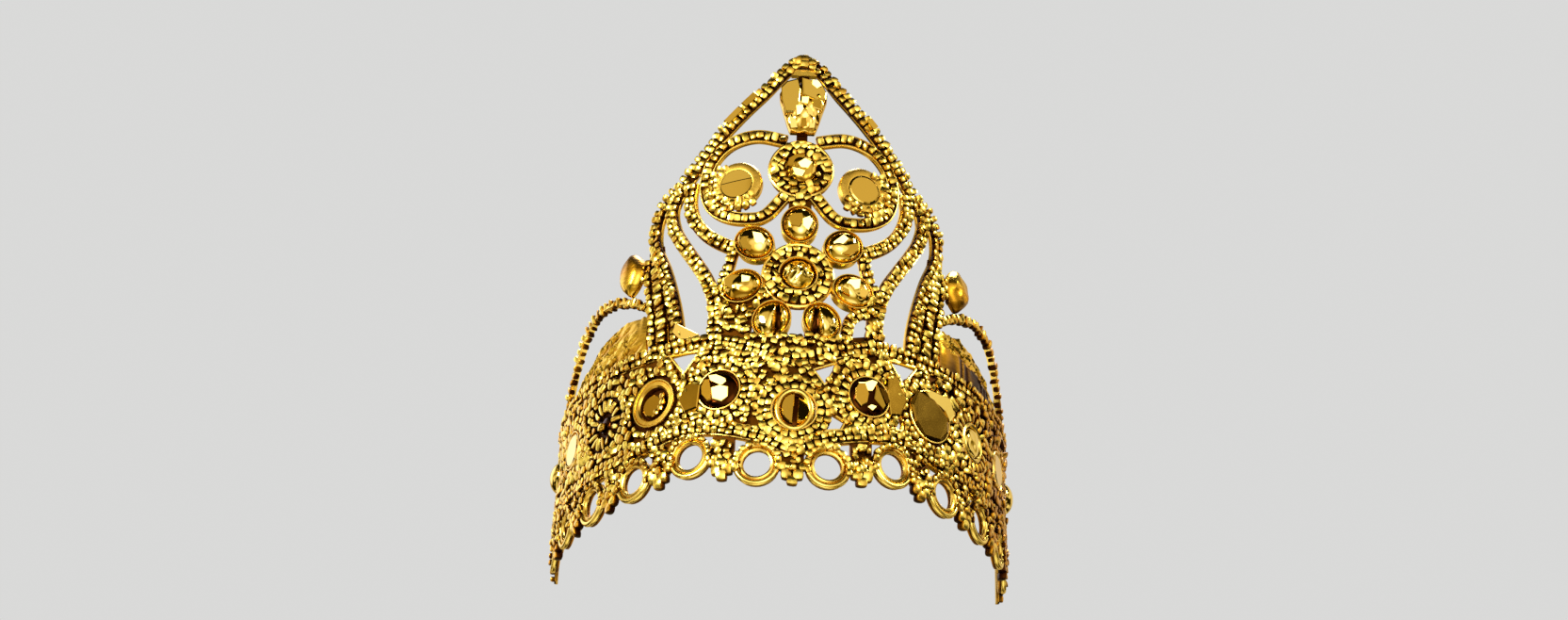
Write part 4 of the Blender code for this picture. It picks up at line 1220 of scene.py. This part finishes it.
right_patch = [(9.2, 8.4), (10.2, 8.6), (10.9, 10.4), (9.9, 12.6), (9.0, 13.1), (8.8, 11.0)]
facet(band, left_patch, 0.58, tilt=(0.05, -0.08), depth=0.45)
facet(band, right_patch, 0.56, depth=0.6)
place_on_crown("head_band_settings", band, "beaded_gold", "head_band")

# %% [markdown]
# ## The fringe
#
# The crown stands on a row of open rings. Each is two drawn wires, one inside the other, with a row of
# grains over its upper part, which follows a circle between two angles. Some rings sit a little
# higher than the others, so not all of them touch the table.

# %% Fringe rings
band = Tray()
for side in (-1, 1):
    for number in range(6):
        across, up = fringe_place(number)
        place = (side * across, up)
        sweep(band, circle(place, FRINGE_INNER), round_section(0.2, 0.06, 0.0, 8), WIRE, depth=0.1)
        sweep(band, circle(place, FRINGE_OUTER), round_section(0.29, 0.1, 0.0, 10), WIRE, tone=0.3)
        dark_strip(band, circle(place, 1.72), 0.38, -0.42, -0.1)
        grain_row(band, circle(place, 2.0, -25.0, 205.0), width=0.56, out=0.3, height=0.6, pitch=0.7)
print("fringe rings:", band.count, "points")

# %% [markdown]
# Between the rings hang grained webs that end in clusters of three large grains, with three smaller
# ones above. A web's height is halfway between those of the rings on its two sides.

# %% Webs and clusters between the rings
for number in range(-5, 6):
    beside = (fringe_place(max(abs(number) - 1, 0))[1] + fringe_place(abs(number))[1]) / 2
    foot_up = beside - 1.8
    across = number * FRINGE_PITCH + np.linspace(-1.05, 1.05, 7)
    waist = 0.35 + np.abs(np.linspace(-1.0, 1.0, 7)) ** 2 * 1.1
    grained_sheet(band, across, foot_up + waist, beside + 2.4, 0.02, (-0.5, -0.1), out=0.14, spacing=0.66,
                  size=0.64)
    foot = (number * FRINGE_PITCH, foot_up, 0.0)
    single_grains(band, np.add([(-0.52, 0.72, 0.05), (0.52, 0.72, 0.05), (0.0, 0.14, 0.05)], foot),
                  (1.02, 0.98, 0.9))
    single_grains(band, np.add([(-0.95, 1.5, 0.1), (0.95, 1.5, 0.1), (0.0, 1.4, 0.2)], foot), 0.8)
place_on_crown("head_band_fringe", band, "beaded_gold", "head_band")

# %% [markdown]
# ## Buttons of the band
#
# The button in the middle is a tall oval whose two halves slope away from an upright ridge. The two
# beside it are cut like stones, on a ground darkened as painted shade, which shows between their faces.
# The rest are plain domes and flat discs in turn, apart from those in the odd settings.


# %% The middle button
def ridged_button(tray):
    """The middle button: a tall oval with an upright ridge, a bright left side and a dark right one."""
    place = np.array((0.0, CENTRE_SETTING_HEIGHT))
    # The low dome under the two faces is darkened as painted shade.
    turned(tray, place, 1.45, 1.7, dome_profile(0.3, 6, 3.0), 40, darkening=dark_ground)
    left = oval((0.0, 0.0), 1.5, 1.12, math.pi / 2)
    left = left[left[:, 0] < 0.1]
    facet(tray, left + place, 0.62, tilt=(0.04, 0.0), depth=0.6)
    facet(tray, left * (-1.0, -1.0) + (0.26, 0.0) + place, 0.62, tilt=(-0.2, -0.35), depth=0.2)


polished("band_button_centre_ridged", "band_button_centre", ridged_button)

# %% The two cut buttons
STONES = {
    -1: [([(-0.75, 1.15), (-0.65, 0.7), (0.25, 0.35), (0.8, 0.5), (0.7, 1.0), (-0.1, 1.3)],
          (-0.46, 0.42), 0.0),
         ([(-0.45, -0.1), (-0.4, -1.1), (0.4, -1.3), (0.95, -0.85), (1.0, 0.1), (0.3, 0.2)],
          (-0.46, 0.3), 0.0),
         ([(-1.55, 0.4), (-1.5, -0.5), (-0.95, -1.2), (-0.55, -1.1), (-0.55, -0.1), (-0.85, 1.1),
           (-1.2, 1.1)], (-0.1, 0.0), 0.45)],
    1: [([(-1.5, 0.5), (-1.5, -0.6), (-0.9, -1.3), (-0.35, -0.9), (-0.2, 0.1), (-0.6, 1.2), (-1.2, 1.1)],
         (0.05, 0.0), 0.35),
        ([(-0.6, 1.25), (-0.45, 0.5), (0.2, 0.55), (0.5, 1.35), (0.0, 1.5)], (0.33, 0.4), 0.0),
        ([(0.55, 1.3), (0.35, -0.2), (1.3, -1.1), (1.5, -0.8), (0.9, 0.5)], (0.1, 0.06), 0.15),
        ([(0.9, 1.15), (1.05, 0.4), (1.6, -0.6), (1.75, 0.1), (1.5, 0.9)], (0.15, -0.1), 0.85),
        ([(-0.3, -1.2), (0.2, -1.5), (0.5, -1.1), (0.0, -0.95)], (0.33, 0.4), 0.0)],
}


def stone(tray, place, faces):
    """A button cut with a file into flat faces, each given as corners, slopes and depth, on a painted-shade
    ground.
    """
    turned(tray, place, 1.86, 1.8, dome_profile(0.5, 6, 3.0), 36, darkening=dark_ground)
    for corners, tilt, depth in faces:
        facet(tray, np.array(corners) + place, 0.8, 0.6, tilt, depth)


# %% The other buttons of the band
SMOKY_PLATE = [(-0.9, -2.4), (1.2, -2.2), (2.2, -1.0), (2.2, 0.6), (0.4, 1.8), (-1.9, 2.2), (-2.6, 0.4),
               (-2.1, -1.2)]


def sun_button(tray, place):
    """A low dome, dark with painted shade, with one ball on it."""
    turned(tray, place, 0.95, 0.95, dome_profile(0.3, 6), 28, darkening=dark_ground)
    single_grains(tray, [(place[0] + 0.1, place[1] - 0.35, 0.4)], 0.85, CUT)


def band_button(tray, number):
    """What sits in a setting of the band."""
    place = setting_place(number)
    if number in STONES:
        stone(tray, place, STONES[number])
    elif number == -2:
        facet(tray, circle(np.add(place, (-0.12, -0.2)), 1.12)[:-1], 0.3, 0.66, depth=0.5)
    elif number == 2:
        facet(tray, np.array(SMOKY_PLATE) + place, 0.56, 0.84, depth=0.7)
    elif number == -3:
        sun_button(tray, place)
    elif number == 3:
        turned(tray, place, 1.5, 1.5, dome_profile(0.5, 6, 2.6), 28, warp=lumpy(5, 0.2))
    elif number % 2:
        turned(tray, place, BUTTON_RADIUS, BUTTON_RADIUS, dome_profile(1.2, 8), 36)
    else:
        plain_disc(tray, place, BUTTON_RADIUS)


for side, word in ((-1, "left"), (1, "right")):
    for number in range(1, 6):
        node = f"band_button_{word}_{number}"
        polished(f"{node}_polished", node, partial(band_button, number=side * number))

# %% [markdown]
# ## Shoulders and wings
#
# A tall satin stud stands beside each shoulder of the panel. From its foot a row of grains on a thin
# strip arches over the wing. A stud is a button's profile turned round a tall oval, which is then
# drawn in towards both ends.

# %% Studs and arcs
STUD_FRONT = [(0.0, 0.95), (0.62, 0.9), (0.9, 0.55), (1.0, 0.1), (1.0, -0.15), (0.9, DOME_BACK),
              (0.0, DOME_BACK)]


def stud(tray, side):
    """A tall stud, cut flat in front and drawn in at both ends, with a row of grains behind it.

    It narrows with the square of the height from its middle."""
    place = (side * STUD_PLACE[0], STUD_PLACE[1])
    dents = lumpy(50 + side, 0.05 if side < 0 else 0.4, 2.0)

    def pointed(points):
        across, up, out = dents(points).T
        narrowed = across * (1.0 - 0.42 * (up / STUD_HALF_HEIGHT) ** 2)
        return np.column_stack((narrowed, up, out + 0.05 * side * across))
    turned(tray, place, STUD_HALF_WIDTH, STUD_HALF_HEIGHT, STUD_FRONT, 28, LEAF, pointed,
           darkening=lambda points: np.clip(0.3 + side * -0.25 * points[:, 1], 0.1, 0.7))
    first = 150 if side > 0 else 210
    grain_row(tray, circle(place, 1.62, first, first + 180), width=0.6, out=0.0, height=0.6)


def wing_arc(tray, side):
    """The beaded arc over the wing: a thin strip along its route, with a row of broad grains on it."""
    route = smooth(flip([WING_FOOT] + WING_ROUTE, side))
    sweep(tray, route, strip_section(0.2, -0.36, 0.3, 0.04), WIRE)
    grain_row(tray, route, -side * 0.1, width=0.98, out=0.02, height=0.8, pitch=0.84, fill=0.68)


# %% [markdown]
# Inside each arch is a leaf of sheet gold, chased with wandering veins and left satin, with small
# spikes on its upper edge near the root. Cloth tools could crumple a sheet, but a chased leaf is
# stiff. So it is a grid of columns from its root to its tip, and it stands out by a sum of waves that
# run along it at a few slants.

# %% Leaves
LEAF_COLUMNS, LEAF_ROWS = 96, 20


def leaf(tray, side):
    """A leaf of sheet gold: plain near its root, chased along its length and spiked along its edge.

    The inner part of the right one has flutes, and gets dark away from the root. A point stands out
    by a round body, plus a mean of waves where it is chased, plus the flutes."""
    chance = np.random.default_rng(61 + side)
    waves = [(length, slant, chance.uniform(0.0, 6.3)) for length in (6.0, 13.0, 25.0)
             for slant in (0.3, 0.8, 1.5)]
    top = evenly(smooth(LEAF_TOP, 0.1), 0.2)
    share = np.linspace(0.0, 1.0, LEAF_COLUMNS)
    across, high = (np.interp(share, np.linspace(0.0, 1.0, len(top)), top[:, axis]) for axis in (0, 1))
    spikes = np.clip(np.sin(share * 34.0), 0.0, 1.0) ** 3 * 0.28 * np.clip(1.0 - share * 1.9, 0.0, 1.0)
    along, rise = share[:, None], np.linspace(0.0, 1.0, LEAF_ROWS)[None, :]
    up = PANEL_FOOT + (high + spikes - PANEL_FOOT)[:, None] * rise
    chased = sum(np.sin((along * slant + (up - PANEL_FOOT) * 0.16) * length * 2.6 + phase)
                 for length, slant, phase in waves) / len(waves)
    if side > 0:
        inner = np.clip((0.62 - rise - 0.2 * along + 0.05 * np.sin(along * 31.0)) * 6.0, 0.0, 1.0)
        flutes = np.sin(along * 44.0 + 3.2 * np.sin(along * 19.0 + 1.0) + 4.0 * rise) * inner
        worked = np.clip((along + 0.1) * 6.0, 0.0, 1.0) * (1.0 - inner)
    else:
        inner = flutes = np.zeros_like(up)
        worked = np.clip((along - 0.16 + 0.2 * (1.0 - rise)) * 6.0, 0.0, 1.0)
    body = 0.22 * np.sin(math.pi * np.clip(rise * 0.9 + 0.1, 0.0, 1.0)) * (1.0 - along * 0.5)
    out = 0.02 + body + 0.42 * chased * worked + 0.05 * flutes
    front = np.stack((np.broadcast_to(side * across[:, None], up.shape), up, out), axis=-1)
    back = front.copy()
    back[..., 2] = out * 0.5 - 0.22
    number = np.arange(LEAF_COLUMNS * LEAF_ROWS).reshape(LEAF_COLUMNS, LEAF_ROWS)
    quads = np.stack((number[:-1, :-1], number[1:, :-1], number[1:, 1:], number[:-1, 1:]), axis=-1)
    quads = quads.reshape(-1, 4)
    edge = np.concatenate((number[:, 0], number[-1, 1:], number[-2::-1, -1], number[0, -2:0:-1]))
    ahead = np.roll(edge, -1)
    wall = np.stack((edge, edge + number.size, ahead + number.size, ahead), axis=-1)
    faces = [quads, quads[:, ::-1] + number.size, wall]
    if side < 0:
        faces = [group[:, ::-1] for group in faces]
    deep = np.clip(0.1 - 1.2 * chased * worked, 0.0, 0.8)
    dark = np.clip(0.4 + 1.5 * along - 0.2 * flutes, 0.0, 1.0)
    deep = np.where(inner > 0.3, dark, deep).ravel()
    points = np.concatenate((front.reshape(-1, 3), back.reshape(-1, 3)))
    tray.add(points, faces, LEAF, 0.5, np.concatenate((deep, deep)))


# %% Both sides of the crown
for side, word in ((-1, "left"), (1, "right")):
    polished(f"shoulder_stud_{word}_cut", f"shoulder_stud_{word}", partial(stud, side=side))
    polished(f"wing_arc_{word}_grains", f"wing_arc_{word}", partial(wing_arc, side=side), "beaded_gold")
    polished(f"leaf_{word}_chased", f"leaf_{word}", partial(leaf, side=side), "satin_leaf_gold")

# %% [markdown]
# ## The stage
#
# The crown stands on a pale floor. The picture is taken from below the crown's front, so the camera
# is lower than the floor. The floor's underside lets the view through, and behind it is plain pale
# air. The floor could be left out, but then nothing would show where the crown stands.


# %% The floor
def floor_material():
    """A matt pale surface, which the view passes through from behind."""
    material, shader = new_material("pale_floor")
    feed(material, shader, {"Base Color": (0.80, 0.79, 0.77, 1.0), "Roughness": 0.9})
    behind = add_node(material, "ShaderNodeNewGeometry", {}, "Backfacing")
    clear = add_node(material, "ShaderNodeBsdfTransparent", {}, "BSDF")
    either = {0: behind, 1: shader.outputs["BSDF"], 2: clear}
    seen = add_node(material, "ShaderNodeMixShader", either, "Shader")
    feed(material, material.node_tree.nodes["Material Output"], {"Surface": seen})
    return material


def stage_piece(name, points, faces, material):
    """A piece of the stage, with its points in metres."""
    mesh = bpy.data.meshes.new(name)
    mesh.from_pydata(points, [], faces)
    mesh.materials.append(material)
    piece = bpy.data.objects.new(name, mesh)
    bpy.context.scene.collection.objects.link(piece)
    return piece


floor = stage_piece("pale_floor", [(-4, -4, 0), (4, -4, 0), (4, 4, 0), (-4, 4, 0)], [(0, 1, 2, 3)],
                    floor_material())
floor.visible_glossy = False

# %% The air behind it
world = bpy.data.worlds.new("pale_air")
world.use_nodes = True
world.node_tree.nodes["Background"].inputs["Color"].default_value = (0.93, 0.93, 0.92, 1.0)
world.node_tree.nodes["Background"].inputs["Strength"].default_value = 0.75
bpy.context.scene.world = world
bpy.context.scene.view_settings.view_transform = "Standard"

# %% [markdown]
# Gold shows what is around it, so the crown stands in a tent that only its reflections see: dark cloth
# with glowing patches, broad glows in front, behind and below, and smaller round zones where the flat
# cut faces look. A picture of a room could light it too, but zones can be set one by one, so that each
# face mirrors what it should.

# %% The cloth of the tent
DIM_WARM, LIT_WHITE = (1.0, 0.72, 0.14, 1.0), (1.0, 0.98, 1.08, 1.0)


def tent_material(patch_scale, low, high, zones):
    """Glowing patches on dark cloth, and round zones over them.

    A zone is its direction from the crown, its reach and its soft edge in degrees, and its glow. A place
    is inside it if its direction times the zone's is more than the cosine of the reach."""
    material, shader = new_material("tent_cloth")
    material.node_tree.nodes.remove(shader)
    add = partial(add_node, material)
    where = add("ShaderNodeTexCoord", {}, "Object")
    patches = add("ShaderNodeTexNoise", {"Vector": where, "Scale": patch_scale, "Detail": 1.0}, "Fac")
    glow = {"Value": patches, "From Min": 0.5, "From Max": 0.6, "To Min": low, "To Max": high}
    strength = add("ShaderNodeMapRange", glow, "Result", interpolation_type="SMOOTHSTEP")
    for direction, reach, edge, level in zones:
        direction = np.array(direction) / np.linalg.norm(direction)
        towards = add("ShaderNodeVectorMath", {0: where, 1: direction}, "Value", operation="DOT_PRODUCT")
        limits = {"Value": towards, "From Min": math.cos(math.radians(reach + edge)),
                  "From Max": math.cos(math.radians(max(reach - edge, 0.0)))}
        inside = add("ShaderNodeMapRange", limits, "Result", interpolation_type="SMOOTHSTEP")
        strength = add("ShaderNodeMix", {"Factor": inside, "A": strength, "B": level}, "Result")
    warmth = add("ShaderNodeMapRange", {"Value": strength, "From Min": 0.35, "From Max": 1.3}, "Result")
    colour = add("ShaderNodeMix", {0: warmth, 6: DIM_WARM, 7: LIT_WHITE}, 2, data_type="RGBA")
    shine = add("ShaderNodeEmission", {"Color": colour, "Strength": strength}, "Emission")
    feed(material, material.node_tree.nodes["Material Output"], {"Surface": shine})
    return material


# %% Where the tent glows
PATCH_SCALE = 2.3
PATCH_DIM, PATCH_LIT = 0.015, 1.05
ZONES = [
    ((0.0, -0.42, 0.91), 46, 12, 0.01),
    ((0.0, 0.98, 0.15), 34, 14, 0.6),
    ((0.0, -0.35, -0.94), 46, 14, 0.45),
    ((0.0, -0.05, -1.0), 26, 12, 1.3),
    ((0.05, -0.98, 0.02), 36, 9, 1.25),
    ((0.05, -0.99, -0.12), 14, 6, 4.6),
    ((0.04, -0.87, 0.49), 10, 3, 0.6),
    ((-0.53, -0.68, 0.50), 11, 3, 0.75),
    ((-0.77, -0.47, 0.43), 7, 3, 0.4),
    ((-0.89, -0.13, 0.43), 7, 3, 0.3),
    ((-0.87, 0.14, 0.47), 9, 3, 0.75),
    ((-0.70, 0.56, 0.45), 20, 6, 1.6),
    ((0.56, -0.65, 0.50), 11, 3, 0.8),
    ((0.80, -0.41, 0.44), 8, 3, 0.18),
    ((0.90, -0.06, 0.43), 9, 3, 0.16),
    ((0.86, 0.16, 0.48), 7, 3, 0.7),
    ((0.66, 0.58, 0.44), 20, 6, 0.85),
]
print("zones in the tent:", len(ZONES))

# %% The tent
TENT_ROWS, TENT_COLUMNS = 17, 32


def tent(material):
    """A ball one metre in radius round the crown, that only reflections see.

    A point is the cosines and sines of two angles, one round it and one up it."""
    around = np.linspace(0.0, 2 * math.pi, TENT_COLUMNS + 1)[:-1]
    around, rise = np.meshgrid(around, np.linspace(-1.5, 1.5, TENT_ROWS))
    points = np.stack((np.cos(around) * np.cos(rise), np.sin(around) * np.cos(rise), np.sin(rise)), axis=-1)
    number = np.arange(TENT_ROWS * TENT_COLUMNS).reshape(TENT_ROWS, TENT_COLUMNS)
    after = np.roll(number, -1, axis=1)
    faces = np.stack((number[:-1], number[1:], after[1:], after[:-1]), axis=-1).reshape(-1, 4).tolist()
    faces += [number[0].tolist(), number[-1, ::-1].tolist()]
    piece = stage_piece("tent", points.reshape(-1, 3).tolist(), faces, material)
    piece.visible_camera = piece.visible_diffuse = piece.visible_shadow = piece.visible_transmission = False


tent(tent_material(PATCH_SCALE, PATCH_DIM, PATCH_LIT, ZONES))

# %% [markdown]
# Three soft boxes stand inside the tent and add the sharpest sparkle: one low on the left, a smaller
# one higher up on the right, and a broad one above. They also light the floor.


# %% Soft boxes
def soft_box(name, place, size, power, aim=(0.0, 0.0, 0.025)):
    """A soft box that shines at the crown, with its place in metres.

    One of its axes points away from the crown, one is level, and the third is square to both."""
    lamp = bpy.data.lights.new(name, "AREA")
    lamp.shape = "RECTANGLE"
    lamp.size, lamp.size_y = size
    lamp.energy = power
    piece = bpy.data.objects.new(name, lamp)
    bpy.context.scene.collection.objects.link(piece)
    away = np.array(place) - np.array(aim)
    away = away / np.linalg.norm(away)
    side = np.cross((0.0, 0.0, 1.0), away)
    side = side / np.linalg.norm(side)
    turn = Matrix(np.column_stack((side, np.cross(away, side), away)).tolist()).to_4x4()
    piece.matrix_world = Matrix.Translation(place) @ turn
    return piece


soft_box("front_left_box", (-0.62, -0.5, 0.2), (0.2, 0.26), 6.0)
soft_box("front_right_box", (0.72, -0.2, 0.5), (0.12, 0.2), 4.0)
soft_box("top_box", (0.1, 0.2, 0.8), (0.4, 0.4), 8.0)

# %% [markdown]
# ## The camera
#
# The picture looks up at the crown by 28 degrees, turned 2 degrees and leaning 1.9 degrees. One point
# inside the band is set to fall on its place in the picture, which is 1665 by 658 points. The eye is
# back from that point by the distance, and beside it by the point's offset from the middle of the
# picture, at the same scale.

# %% Camera
PICTURE = (1665, 658)
LOOK_UP = math.radians(28.0)
TURN = math.radians(2.0)
LEAN = math.radians(1.9)
DISTANCE = 0.235
FOCAL_POINTS = 2462.8
ANCHOR = np.array((0.0, 0.00951, 0.01365))
ANCHOR_AT = (832.0, 480.0)

ahead = np.array((math.sin(TURN) * math.cos(LOOK_UP), math.cos(TURN) * math.cos(LOOK_UP), math.sin(LOOK_UP)))
right = np.array((math.cos(TURN), -math.sin(TURN), 0.0))
above = np.cross(right, ahead)
view_right = math.cos(LEAN) * right + math.sin(LEAN) * above
view_above = -math.sin(LEAN) * right + math.cos(LEAN) * above
offset = (ANCHOR_AT[0] - PICTURE[0] / 2) * view_right + (PICTURE[1] / 2 - ANCHOR_AT[1]) * view_above
eye = ANCHOR - DISTANCE * (ahead + offset / FOCAL_POINTS)
lens = bpy.data.cameras.new("camera")
lens.sensor_fit = "HORIZONTAL"
lens.angle = 2 * math.atan(PICTURE[0] / 2 / FOCAL_POINTS)
lens.clip_start = 0.01
camera = bpy.data.objects.new("camera", lens)
bpy.context.scene.collection.objects.link(camera)
axes = Matrix(np.column_stack((view_right, view_above, -ahead)).tolist()).to_4x4()
camera.matrix_world = Matrix.Translation(eye.tolist()) @ axes
bpy.context.scene.camera = camera
print("the camera is", round(-eye[2] * 1000), "mm below the floor")
